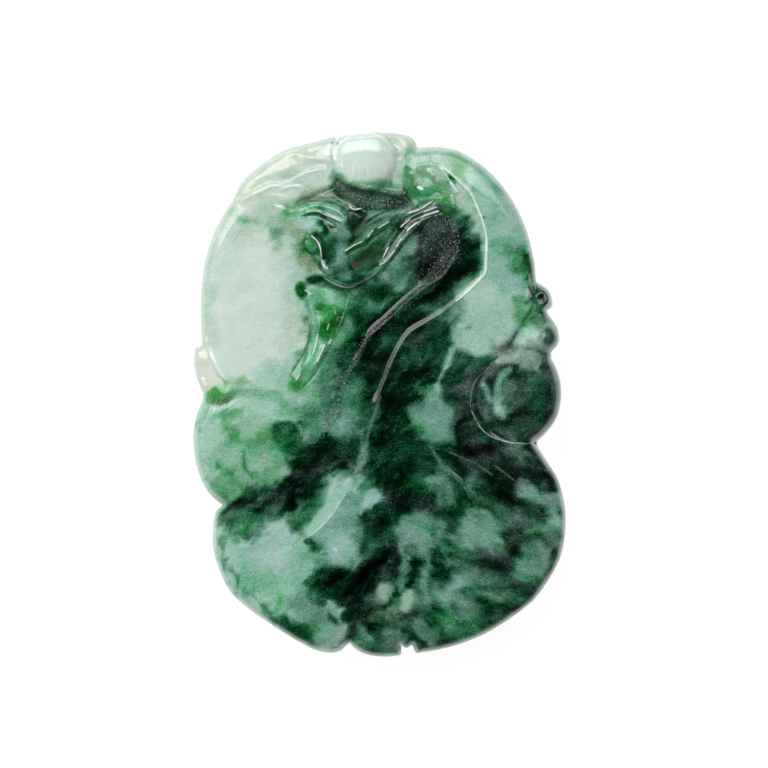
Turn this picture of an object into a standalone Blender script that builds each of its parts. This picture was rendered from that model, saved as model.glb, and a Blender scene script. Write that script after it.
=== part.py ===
"""Carved palm stone of mottled jadeite, one solid, lying on its back.

The stone is a rounded slab with an irregular lobed outline.  Its upper side is carved: a smooth
dome and a leaf band at the left, a pearl at the top, an arched lobe at the right whose inner
edge runs down as one long S-shaped ridge, a hollow ground beside a stem, a head of overlapping
petals with a hanging tassel, a ball at the left, a disc and two scrolls at the right, and a
broad body with flutes and two small notches at the foot.  Its back is a plain, gently domed
face with a flat area to rest on.

Frame: metres, +Z up, +Y towards the pearl, origin at the middle of the underside.
"""
import bpy
import bmesh
import numpy as np

MM = 0.001

# ---- driving dimensions, in millimetres -------------------------------------------------------
NAME = "palm_stone"
RIM_HEIGHT = 8.6            # height of the widest line round the edge above the rest face
SHOULDER = 4.6              # how far the front rises from the rim to its shoulder
SHOULDER_REACH = 8.0        # distance from the edge at which that rise is complete
SHOULDER_POWER = 4.5        # how square the shoulder is: 2 is round, more is squarer
CROWN = 0.9                 # how far the front swells above its shoulder
CROWN_HALF_SIZES = (24.0, 34.0)     # where the swelling comes down to nothing, in x and in y
BACK_ROUND = 2.4            # radius of the rounded edge, back side
BACK_REACH = 12.0           # distance from the edge at which the back becomes flat
GROUND_HEIGHT = 13.0        # level of the sunk ground beside the stem
GROUND_WALL = (-0.2, 1.4)   # where the wall round the ground starts and ends, inside its line
RIDGE_STEP = 0.7            # how far the long ridge stands above what lies inside it, at its top
RIDGE_LOSS = 0.6            # the share of that step that is lost by the foot of the ridge
RIDGE_LIP = 0.3             # the share of the step that the lobe itself swells at the ridge
RIDGE_EDGE = 0.9            # width over which the step falls
RIDGE_REACH = 5.0           # distance over which the step comes back to the slab
RIDGE_ENDS = (0.06, 0.04)   # parts of its length over which the ridge fades in and out
ROLL_ENDS = (0.12, 0.35)    # part of a roll's length over which it fades, and height left there
CUT_ENDS = 0.1              # part of a cut's length over which it fades
CARVING_FADE = 1.4          # width of the band at the edge where the carving fades out
EDGE_SPACING = 1.65         # spacing of points along the outline
FRONT_RINGS = 26            # rings of faces from the rim to the middle of the front
BACK_RINGS = 7              # the same on the back
SPINE = 16.0                # half length of the line that the inner rings close on
SPINE_EASE = 1.3            # how gently the rows close up towards the ends of that line
RIM_CROWDING = 0.7          # how much closer the rings stand at the rim than inside
CROWDING_POWER = 4          # how near the rim that crowding sets in
SOFTENING = 8               # averaging passes that give the inner rings their smooth outline
CORNER_REACH = 9.0          # how soon the rings lose the corners of the outline, going inwards

JADE_COLOUR = (0.13, 0.36, 0.24, 1.0)
JADE_ROUGHNESS = 0.12

# The outline as seen from the front, clockwise from the top.  Each point is followed by the
# rise of the arc from it to the next point: positive bulges outwards, zero is a straight edge.
OUTLINE = {
    "leaf behind the pearl": [(0.5, 32.8, 0.1), (3.2, 32.5, 0.3), (4.7, 31.2, 0.0)],
    "arched lobe": [(4.7, 30.8, 0.3), (9.8, 30.6, 0.7), (16.7, 24.3, 0.7)],
    "upper scroll": [(19.6, 14.0, 0.8), (21.7, 10.9, 0.0), (20.9, 10.4, 0.0)],
    "lower scroll": [(22.2, 8.5, 0.1), (22.5, 6.6, 0.1), (21.5, 5.3, 0.0)],
    "disc": [(21.5, 4.5, 0.7), (22.6, -1.9, 0.2), (21.2, -4.4, 0.1)],
    "right flank": [(19.4, -6.0, 0.0), (22.2, -10.1, 0.5), (23.3, -17.5, 0.1),
                    (22.6, -20.7, 0.2), (19.3, -25.8, 0.2), (13.2, -30.0, 0.4)],
    "right notch": [(4.4, -32.4, 0.0), (4.1, -31.2, 0.0), (3.3, -31.8, 0.0), (2.8, -31.3, 0.0)],
    "middle toe": [(2.8, -32.6, 0.3), (-1.8, -32.5, 0.2)],
    "left toe": [(-3.8, -31.0, 0.0), (-4.7, -32.0, 0.2), (-6.8, -32.3, 0.1)],
    "left flank": [(-8.8, -31.7, 0.1), (-14.3, -28.3, 0.1), (-17.8, -25.7, 0.3),
                   (-20.1, -22.0, 0.7), (-20.5, -14.7, 0.1)],
    "left ball": [(-19.5, -13.8, 0.4), (-22.4, -10.7, 0.2), (-23.4, -6.2, 0.4)],
    "small leaf": [(-22.2, -0.7, 0.0), (-22.1, 0.2, 0.3), (-23.3, 4.4, 0.0), (-23.2, 5.9, 0.0)],
    "dome": [(-22.2, 6.2, 0.3), (-22.1, 15.6, 0.6)],
    "leaf band": [(-18.4, 24.3, 0.4), (-15.7, 28.1, 0.1), (-12.2, 30.5, 0.1),
                  (-9.9, 31.2, 0.0), (-5.7, 32.3, 0.0)],
    "pearl": [(-5.5, 31.9, 0.2), (-2.6, 32.7, 0.1)],
}

# The long ridge that is the inner edge of the arched lobe, from the curl down across the body.
RIDGE = [(7.1, 28.6), (9.6, 27.1), (11.5, 24.7), (12.8, 22.0), (13.3, 19.5), (13.2, 16.4),
         (12.5, 14.6), (10.8, 12.9), (8.4, 11.1), (5.8, 9.1), (3.9, 7.7), (2.6, 6.1), (1.6, 4.0),
         (0.3, 0.9), (-0.8, -3.2), (-1.9, -6.9), (-3.1, -10.3), (-5.3, -14.1), (-8.6, -17.7)]

# The sunk ground: an oval hollow at the upper right that runs down beside the stem.
GROUND = [(7.4, 22.0), (9.4, 20.8), (9.6, 18.6), (8.3, 15.8), (6.0, 13.6), (2.9, 11.3),
          (-0.6, 8.2), (-2.7, 4.5), (-4.4, 1.2), (-6.4, -3.4), (-8.9, -6.1), (-10.4, -3.0),
          (-9.8, 4.0), (-9.6, 9.0), (-9.4, 13.0), (-5.5, 13.2), (-1.5, 14.4), (2.0, 17.6),
          (4.6, 20.8)]

# Raised bodies, each a rounded roll along a path: points, half width, height.
PETALS = {
    "arched petal": ([(-9.3, 19.4), (-8.6, 21.6), (-6.6, 22.8), (-4.6, 22.4), (-3.6, 20.6)],
                     1.9, 0.9),
    "lip": ([(-8.6, 18.8), (-7.9, 16.6), (-5.9, 14.6), (-3.4, 14.0), (-0.9, 15.0)], 1.6, 0.8),
    "long petal": ([(-4.4, 16.8), (-2.0, 18.4), (0.6, 20.8), (3.4, 22.6), (6.6, 23.6)],
                   1.7, 1.0),
    "bundle": ([(0.0, 15.6), (1.8, 18.0), (4.0, 20.4), (7.4, 22.6)], 1.1, 0.7),
    "tassel": ([(-7.0, 14.0), (-6.6, 10.6), (-6.7, 7.4), (-8.0, 4.2), (-10.4, 1.2)], 2.0, 1.0),
    "band ridge": ([(-16.4, 24.6), (-13.4, 26.0), (-9.6, 27.4), (-6.4, 28.0)], 1.6, 0.3),
    "curl": ([(4.0, 27.0), (4.8, 28.3), (7.3, 28.6), (9.1, 26.8)], 1.2, 0.4),
}

# Domes: centre, half widths, height above the surface round them.
DOMES = {
    "pearl": ((-1.9, 29.2), (3.8, 3.7), 1.1),
    "bead": ((5.6, 25.6), (1.7, 1.6), 0.5),
    "disc": ((17.6, -0.4), (5.1, 5.6), 0.7),
    "left ball": ((-16.7, -7.2), (6.6, 6.4), 0.7),
    "upper scroll": ((20.2, 12.0), (1.8, 1.9), 0.7),
    "lower scroll": ((20.8, 7.0), (1.9, 2.2), 0.7),
}

# Cuts: points, half width, depth.
CUTS = {
    "under the pearl": ([(-5.4, 27.4), (-2.8, 25.6), (0.6, 24.8), (3.2, 23.6)], 1.7, 1.5),
    "round the disc": ([(15.2, 5.4), (12.9, 3.0), (11.8, 0.9), (11.6, -1.2), (12.6, -4.2),
                        (14.8, -6.1), (17.6, -6.6), (19.6, -6.2)], 0.9, 0.6),
    "round the ball": ([(-22.0, -0.7), (-19.4, 0.1), (-16.2, 0.6), (-12.4, -1.0), (-10.4, -3.4),
                        (-9.6, -6.8), (-11.2, -10.4), (-14.4, -12.4), (-19.3, -13.6)], 0.9, 0.5),
    "beside the stem": ([(8.6, 16.0), (6.0, 13.6), (2.9, 11.3), (-1.0, 7.8), (-2.7, 4.5),
                         (-4.4, 1.2), (-6.0, -4.6)], 0.7, 0.4),
    "above the left toe": ([(-3.8, -31.2), (-3.5, -30.0), (-3.0, -28.2)], 0.8, 0.6),
    "above the notch": ([(3.4, -31.6), (3.7, -30.2), (4.0, -28.6)], 0.6, 0.5),
    "leaf band edge": ([(-18.4, 23.8), (-14.6, 25.0), (-10.6, 24.4), (-6.0, 25.8)], 0.8, 0.3),
    "flute left": ([(3.2, -23.8), (3.4, -21.8), (3.6, -19.6)], 0.7, 0.2),
    "small leaf edge": ([(-22.4, 6.2), (-21.2, 4.6), (-19.8, 2.6), (-18.6, 1.4)], 0.6, 0.6),
    "scroll edge": ([(19.4, 13.6), (18.2, 10.2), (17.4, 7.6), (15.9, 5.8)], 0.7, 0.6),
}


# ---- geometry helpers -------------------------------------------------------------------------
def arc_points(start, end, rise, spacing):
    """Points from start (included) to end (left out) along an arc with the given rise."""
    start, end = np.array(start), np.array(end)
    chord = end - start
    length = np.hypot(*chord)
    outward = np.array([-chord[1], chord[0]]) / length
    count = max(1, int(round(length / spacing)))
    part = np.arange(count)[:, None] / count
    return start + chord * part + outward * rise * 4.0 * part * (1.0 - part)


def outline_points(spacing):
    """The whole outline, anticlockwise from above, with every corner kept."""
    stations = [station for stretch in OUTLINE.values() for station in stretch]
    pieces = []
    for (x0, y0, rise), (x1, y1, _) in zip(stations, stations[1:] + stations[:1]):
        pieces.append(arc_points((x0, y0), (x1, y1), rise, spacing))
    return np.concatenate(pieces)[::-1]


def smooth_path(points, steps=6):
    """A Catmull-Rom curve through the points, as a polyline."""
    p = np.array(points, dtype=float)
    p = np.vstack([2 * p[0] - p[1], p, 2 * p[-1] - p[-2]])
    t = (np.arange(steps) / steps)[:, None]
    pieces = []
    for a, b, c, d in zip(p, p[1:], p[2:], p[3:]):
        pieces.append(0.5 * (2 * b + (c - a) * t + (2 * a - 5 * b + 4 * c - d) * t ** 2
                             + (3 * b - a - 3 * c + d) * t ** 3))
    return np.vstack(pieces + [p[-2:-1]])


def smooth_closed(points, steps=4):
    """A closed Catmull-Rom curve through the points, as a polyline."""
    p = np.array(points, dtype=float)
    t = (np.arange(steps) / steps)[:, None]
    pieces = []
    for a, b, c, d in zip(np.roll(p, 1, axis=0), p, np.roll(p, -1, axis=0), np.roll(p, -2, axis=0)):
        pieces.append(0.5 * (2 * b + (c - a) * t + (2 * a - 5 * b + 4 * c - d) * t ** 2
                             + (3 * b - a - 3 * c + d) * t ** 3))
    return np.vstack(pieces)


def nearest(path, x, y, closed=False):
    """Distance to a polyline, which side of it (+1 left), and how far along (0 to 1)."""
    starts = path if closed else path[:-1]
    ends = np.roll(path, -1, axis=0) if closed else path[1:]
    best = np.full(x.shape, np.inf)
    side = np.zeros(x.shape)
    along = np.zeros(x.shape)
    for index, ((x0, y0), (x1, y1)) in enumerate(zip(starts, ends)):
        dx, dy = x1 - x0, y1 - y0
        part = np.clip(((x - x0) * dx + (y - y0) * dy) / (dx * dx + dy * dy), 0.0, 1.0)
        gap = np.hypot(x - x0 - part * dx, y - y0 - part * dy)
        nearer = gap < best
        best = np.where(nearer, gap, best)
        side = np.where(nearer, np.sign(dx * (y - y0) - dy * (x - x0)), side)
        along = np.where(nearer, (index + part) / len(starts), along)
    return best, side, along


def ease(low, high, value):
    """0 below low, 1 above high, an S-shaped rise between them."""
    t = np.clip((value - low) / (high - low), 0.0, 1.0)
    return t * t * (3.0 - 2.0 * t)


def quarter(part):
    """Height of a quarter circle at this part of its radius, 0 at the edge and 1 inside."""
    return np.sqrt(1.0 - (1.0 - np.clip(part, 0.0, 1.0)) ** 2)


def inside(polygon, x, y):
    """Signed distance to a closed outline, positive inside it."""
    gap, _, _ = nearest(polygon, x, y, closed=True)
    crossings = np.zeros(x.shape, dtype=int)
    for (x0, y0), (x1, y1) in zip(polygon, np.roll(polygon, -1, axis=0)):
        spans = (y0 > y) != (y1 > y)
        at = x0 + (y - y0) * (x1 - x0) / (y1 - y0 if y1 != y0 else 1.0)
        crossings += spans & (x < at)
    return np.where(crossings % 2 == 1, gap, -gap)


# ---- the carving ------------------------------------------------------------------------------
def roll(x, y, points, half_width, height):
    """A rounded roll along a path, lower towards its ends."""
    gap, _, along = nearest(smooth_path(points), x, y)
    length, left = ROLL_ENDS
    ends = ease(0.0, length, along) * ease(0.0, length, 1.0 - along)
    return height * (left + (1.0 - left) * ends) * np.clip(1.0 - (gap / half_width) ** 2, 0.0, 1.0)


def cut(x, y, points, half_width, depth):
    """A cut with sloping sides along a path, half as deep at its ends."""
    gap, _, along = nearest(smooth_path(points), x, y)
    start = ease(-CUT_ENDS, CUT_ENDS, along)
    end = ease(-CUT_ENDS, CUT_ENDS, 1.0 - along)
    return depth * start * end * (1.0 - ease(0.0, half_width, gap))


def dome(x, y, centre, half_widths, height):
    """A round cap, steep at its foot and level at its top."""
    distance = np.hypot((x - centre[0]) / half_widths[0], (y - centre[1]) / half_widths[1])
    return height * np.sqrt(np.clip(1.0 - distance ** 2, 0.0, 1.0))


def slab_height(x, y, edge_gap):
    """The front before carving: a superellipse shoulder that rises from the rim, and a slight
    swelling over it, 1 - (x / half width)^2 - (y / half length)^2."""
    outward = 1.0 - np.clip(edge_gap / SHOULDER_REACH, 0.0, 1.0)
    shoulder = (1.0 - outward ** SHOULDER_POWER) ** (1.0 / SHOULDER_POWER)
    swell = 1.0 - (x / CROWN_HALF_SIZES[0]) ** 2 - (y / CROWN_HALF_SIZES[1]) ** 2
    return RIM_HEIGHT + (SHOULDER + CROWN * swell) * shoulder


def ridge_relief(x, y):
    """The arched lobe's swelling and the step down inside its ridge."""
    gap, side, along = nearest(smooth_path(RIDGE), x, y)
    fade = ease(0.0, RIDGE_ENDS[0], along) * ease(0.0, RIDGE_ENDS[1], 1.0 - along)
    step = RIDGE_STEP * (1.0 - RIDGE_LOSS * along) * fade * ease(0.0, 1.0, 1.0 - gap / RIDGE_REACH)
    return np.where(side > 0, RIDGE_LIP * step, -ease(0.0, RIDGE_EDGE, gap) * step)


def front_height(x, y, edge_gap):
    """Height of the carved side above the rest face; the carving fades out at the very edge."""
    slab = slab_height(x, y, edge_gap)
    relief = ridge_relief(x, y)
    sunk = ease(*GROUND_WALL, inside(smooth_closed(GROUND), x, y))
    relief += sunk * (GROUND_HEIGHT - slab - relief)
    for points, half_width, height in PETALS.values():
        relief += roll(x, y, points, half_width, height)
    for points, half_width, deep in CUTS.values():
        relief -= cut(x, y, points, half_width, deep)
    for centre, half_widths, height in DOMES.values():
        relief += dome(x, y, centre, half_widths, height)
    return slab + relief * ease(0.0, CARVING_FADE, edge_gap)


def back_height(x, y, edge_gap):
    """Height of the plain back: a rounded edge, a gentle slope, then a flat area at zero.  It
    depends on the distance from the edge alone."""
    slope = RIM_HEIGHT - BACK_ROUND
    fall = 1.0 - (1.0 - np.clip(edge_gap / BACK_REACH, 0.0, 1.0)) ** 2
    z = RIM_HEIGHT - BACK_ROUND * quarter(edge_gap / BACK_ROUND) - slope * fall
    return np.where(edge_gap >= BACK_REACH, 0.0, z)


# ---- the solid --------------------------------------------------------------------------------
def softened(edge):
    """The outline with its notches and corners averaged away, for the inner rings to follow."""
    for _ in range(SOFTENING):
        edge = 0.25 * np.roll(edge, 1, axis=0) + 0.5 * edge + 0.25 * np.roll(edge, -1, axis=0)
    return edge


def face_grid(bm, edge, half, rings, height):
    """One face of the stone: a flat grid whose middle column lies on the spine and whose outer
    columns lie on the outline; its two end rows fold shut and are merged afterwards."""
    grid = bmesh.ops.create_grid(bm, x_segments=2 * rings, y_segments=half, size=1.0)
    verts = grid["verts"]
    place = np.array([vert.co[:] for vert in verts])
    row = np.rint((place[:, 1] + 1.0) / 2.0 * half).astype(int)
    inward = 1.0 - np.abs(place[:, 0])
    out = 1.0 - inward * (1.0 - RIM_CROWDING * (1.0 - inward) ** CROWDING_POWER)
    soft = softened(edge)
    right, left = row % len(edge), -row % len(edge)
    column = np.where(place[:, 0] < 0.0, left, right)
    rim = soft[column] + (out ** CORNER_REACH)[:, None] * (edge[column] - soft[column])
    row_y = 0.5 * (soft[right, 1] + soft[left, 1])
    spine_y = SPINE * np.tanh(row_y / (SPINE_EASE * SPINE))
    x = out * rim[:, 0]
    y = out * rim[:, 1] + (1.0 - out) * spine_y
    edge_gap, _, _ = nearest(edge, x, y, closed=True)
    edge_gap = np.where(inward < 0.5 / rings, 0.0, edge_gap)
    z = height(x, y, edge_gap)
    middle = 0.5 * (edge.min(axis=0) + edge.max(axis=0))
    for vert, point in zip(verts, np.stack([x - middle[0], y - middle[1], z], axis=1) * MM):
        vert.co = point
    return verts


def shape_stone(bm):
    """The carved front and the plain back, joined along the outline."""
    edge = outline_points(EDGE_SPACING)
    if len(edge) % 2:
        raise ValueError("the outline needs an even number of points")
    edge = np.roll(edge, -int(np.argmin(edge[:, 1])), axis=0)
    half = len(edge) // 2
    face_grid(bm, edge, half, FRONT_RINGS, front_height)
    back = face_grid(bm, edge, half, BACK_RINGS, back_height)
    back_faces = {face for vert in back for face in vert.link_faces}
    bmesh.ops.reverse_faces(bm, faces=list(back_faces))
    bmesh.ops.remove_doubles(bm, verts=bm.verts, dist=0.002 * MM)


def jade_material():
    """Polished jadeite, as one even colour."""
    material = bpy.data.materials.new("jadeite")
    material.use_nodes = True
    shader = material.node_tree.nodes["Principled BSDF"]
    shader.inputs["Base Color"].default_value = JADE_COLOUR
    shader.inputs["Roughness"].default_value = JADE_ROUGHNESS
    shader.inputs["Metallic"].default_value = 0.0
    return material


def main():
    for thing in list(bpy.data.objects):
        bpy.data.objects.remove(thing)
    collection = bpy.data.collections.new("jade_palm_stone")
    bpy.context.scene.collection.children.link(collection)
    mesh = bpy.data.meshes.new(NAME)
    bm = bmesh.new()
    shape_stone(bm)
    bm.to_mesh(mesh)
    bm.free()
    mesh.shade_smooth()
    mesh.materials.append(jade_material())
    collection.objects.link(bpy.data.objects.new(NAME, mesh))


main()
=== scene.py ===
"""Looks of the carved jade palm stone, lying on a plain pale floor and seen from straight above.

The stone is one closed skin, worked out on a grid: a rounded slab inside a lobed outline, with
the carving added to its front as steps, ridges, cuts, caps and hollows along named paths.  All
sizes in the shape functions are millimetres and become metres once, in stone_piece.
"""
import bpy
import numpy as np
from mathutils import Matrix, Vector


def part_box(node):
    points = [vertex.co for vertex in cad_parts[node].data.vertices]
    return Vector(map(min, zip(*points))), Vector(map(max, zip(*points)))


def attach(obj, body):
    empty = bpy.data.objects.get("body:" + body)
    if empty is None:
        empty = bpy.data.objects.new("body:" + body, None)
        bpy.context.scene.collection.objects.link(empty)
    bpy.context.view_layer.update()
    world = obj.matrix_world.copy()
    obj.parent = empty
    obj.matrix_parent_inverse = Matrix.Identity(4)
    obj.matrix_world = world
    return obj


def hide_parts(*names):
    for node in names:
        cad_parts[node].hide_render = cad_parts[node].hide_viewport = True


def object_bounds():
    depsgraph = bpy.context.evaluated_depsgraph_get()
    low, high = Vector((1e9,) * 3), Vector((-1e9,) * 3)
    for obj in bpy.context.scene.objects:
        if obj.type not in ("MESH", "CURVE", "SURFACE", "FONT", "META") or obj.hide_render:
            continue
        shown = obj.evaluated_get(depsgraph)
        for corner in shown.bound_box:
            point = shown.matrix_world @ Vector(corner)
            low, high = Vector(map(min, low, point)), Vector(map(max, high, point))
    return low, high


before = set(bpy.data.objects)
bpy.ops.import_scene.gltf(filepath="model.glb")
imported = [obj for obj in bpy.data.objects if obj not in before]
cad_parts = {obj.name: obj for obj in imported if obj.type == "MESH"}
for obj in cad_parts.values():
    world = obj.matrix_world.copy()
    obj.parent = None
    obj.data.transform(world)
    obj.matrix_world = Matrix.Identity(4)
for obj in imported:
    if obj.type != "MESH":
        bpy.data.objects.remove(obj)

CAD_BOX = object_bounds()
MM = 0.001

# ---- the outline, in millimetres, the same stations as the solid --------------------------------
# each station: x, y, and how far the arc from it to the next one bulges outwards
OUTLINE = {
    "leaf behind the pearl": [(0.5, 32.8, 0.1), (3.2, 32.5, 0.3), (4.7, 31.2, 0.0)],
    "arched lobe": [(4.7, 30.8, 0.3), (9.8, 30.6, 0.7), (16.7, 24.3, 0.7)],
    "upper scroll": [(19.6, 14.0, 0.8), (21.7, 10.9, 0.0), (20.9, 10.4, 0.0)],
    "lower scroll": [(22.2, 8.5, 0.1), (22.5, 6.6, 0.1), (21.5, 5.3, 0.0)],
    "disc": [(21.5, 4.5, 0.7), (22.6, -1.9, 0.2), (21.2, -4.4, 0.1)],
    "right flank": [(19.4, -6.0, 0.0), (22.2, -10.1, 0.5), (23.3, -17.5, 0.1),
                    (22.6, -20.7, 0.2), (19.3, -25.8, 0.2), (13.2, -30.0, 0.4)],
    "right notch": [(4.4, -32.4, 0.0), (4.1, -31.2, 0.0), (3.3, -31.8, 0.0), (2.8, -31.3, 0.0)],
    "middle toe": [(2.8, -32.6, 0.3), (-1.8, -32.5, 0.2)],
    "left toe": [(-3.8, -31.0, 0.0), (-4.7, -32.0, 0.2), (-6.8, -32.3, 0.1)],
    "left flank": [(-8.8, -31.7, 0.1), (-14.3, -28.3, 0.1), (-17.8, -25.7, 0.3),
                   (-20.1, -22.0, 0.7), (-20.5, -14.7, 0.1)],
    "left ball": [(-19.5, -13.8, 0.4), (-22.4, -10.7, 0.2), (-23.4, -6.2, 0.4)],
    "small leaf": [(-22.2, -0.7, 0.0), (-22.1, 0.2, 0.3), (-23.3, 4.4, 0.0), (-23.2, 5.9, 0.0)],
    "dome": [(-22.2, 6.2, 0.3), (-22.1, 15.6, 0.6)],
    "leaf band": [(-18.4, 24.3, 0.4), (-15.7, 28.1, 0.1), (-12.2, 30.5, 0.1),
                  (-9.9, 31.2, 0.0), (-5.7, 32.3, 0.0)],
    "pearl": [(-5.5, 31.9, 0.2), (-2.6, 32.7, 0.1)],
}
RIM_HEIGHT = 8.6            # height of the widest line round the edge
SHOULDER = 4.6              # how far the front rises from the rim to its shoulder
SHOULDER_REACH = 8.0        # distance from the edge at which that rise is complete
SHOULDER_POWER = 5.5        # how square the shoulder is: 2 is round, more is squarer
CROWN = 0.9                 # how far the front swells above its shoulder
CROWN_HALF_WIDTH = 24.0     # where the swelling comes down to nothing, across
CROWN_HALF_LENGTH = 34.0    # and lengthways
CARVING_FADE = 1.1          # width of the band at the edge where the carving fades out
BACK_ROUND = 2.4            # radius of the rounded edge, back side
BACK_REACH = 12.0           # distance from the edge at which the back becomes flat
BACK_MARGIN = 0.3           # distance from the edge at which the back starts to slope


def arc_points(start, end, rise, spacing):
    """Points from start to just before end, on an arc that bulges outwards by rise."""
    start, end = np.array(start), np.array(end)
    chord = end - start
    length = np.hypot(*chord)
    outward = np.array([-chord[1], chord[0]]) / length
    count = max(1, int(round(length / spacing)))
    part = np.arange(count)[:, None] / count
    return start + chord * part + outward * rise * 4.0 * part * (1.0 - part)


def outline_points(spacing):
    """The whole outline, anticlockwise from above, with every corner kept."""
    stations = [station for stretch in OUTLINE.values() for station in stretch]
    pieces = []
    for (x0, y0, rise), (x1, y1, _) in zip(stations, stations[1:] + stations[:1]):
        pieces.append(arc_points((x0, y0), (x1, y1), rise, spacing))
    return np.concatenate(pieces)[::-1]


def flowing(points, closed=False, steps=6):
    """A Catmull-Rom curve through the points, as a polyline."""
    p = np.array(points, dtype=float)
    if closed:
        p = np.vstack([p[-1], p, p[0], p[1]])
    else:
        p = np.vstack([2 * p[0] - p[1], p, 2 * p[-1] - p[-2]])
    t = (np.arange(steps) / steps)[:, None]
    pieces = []
    for a, b, c, d in zip(p, p[1:], p[2:], p[3:]):
        pieces.append(0.5 * (2 * b + (c - a) * t + (2 * a - 5 * b + 4 * c - d) * t ** 2
                             + (3 * b - a - 3 * c + d) * t ** 3))
    return np.vstack(pieces if closed else pieces + [p[-2:-1]])


def near_box(path, reach, x, y):
    """Indices of the points that lie within a box round a path, wider than it by reach."""
    low, high = path.min(axis=0) - reach, path.max(axis=0) + reach
    return np.nonzero((x > low[0]) & (x < high[0]) & (y > low[1]) & (y < high[1]))[0]


def nearest(path, x, y, closed=False):
    """Distance to a polyline, which side of it (+1 left of travel), and how far along, 0 to 1."""
    starts = path if closed else path[:-1]
    ends = np.roll(path, -1, axis=0) if closed else path[1:]
    best = np.full(x.shape, np.inf)
    side = np.ones(x.shape)
    along = np.zeros(x.shape)
    for index, ((x0, y0), (x1, y1)) in enumerate(zip(starts, ends)):
        dx, dy = x1 - x0, y1 - y0
        part = np.clip(((x - x0) * dx + (y - y0) * dy) / (dx * dx + dy * dy), 0.0, 1.0)
        gap = np.hypot(x - x0 - part * dx, y - y0 - part * dy)
        nearer = gap < best
        best = np.where(nearer, gap, best)
        side = np.where(nearer, np.where(dx * (y - y0) - dy * (x - x0) < 0, -1.0, 1.0), side)
        along = np.where(nearer, (index + part) / len(starts), along)
    return best, side, along


def ease(low, high, value):
    """0 on the low side of low, 1 beyond high, an S-shaped rise between them."""
    t = np.clip((value - low) / (high - low), 0.0, 1.0)
    return t * t * (3.0 - 2.0 * t)


def quarter(part):
    """Height of a quarter circle at this part of its radius, 0 at the edge and 1 inside."""
    return np.sqrt(1.0 - (1.0 - np.clip(part, 0.0, 1.0)) ** 2)


def signed_gap(polygon, x, y):
    """Distance to a closed outline, positive inside it."""
    gap, _, _ = nearest(polygon, x, y, closed=True)
    crossed = np.zeros(x.shape, dtype=bool)
    for (x0, y0), (x1, y1) in zip(polygon, np.roll(polygon, -1, axis=0)):
        if y0 != y1:
            spans = (y0 > y) != (y1 > y)
            crossed ^= spans & (x < x0 + (y - y0) * (x1 - x0) / (y1 - y0))
    return np.where(crossed, gap, -gap)


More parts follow.
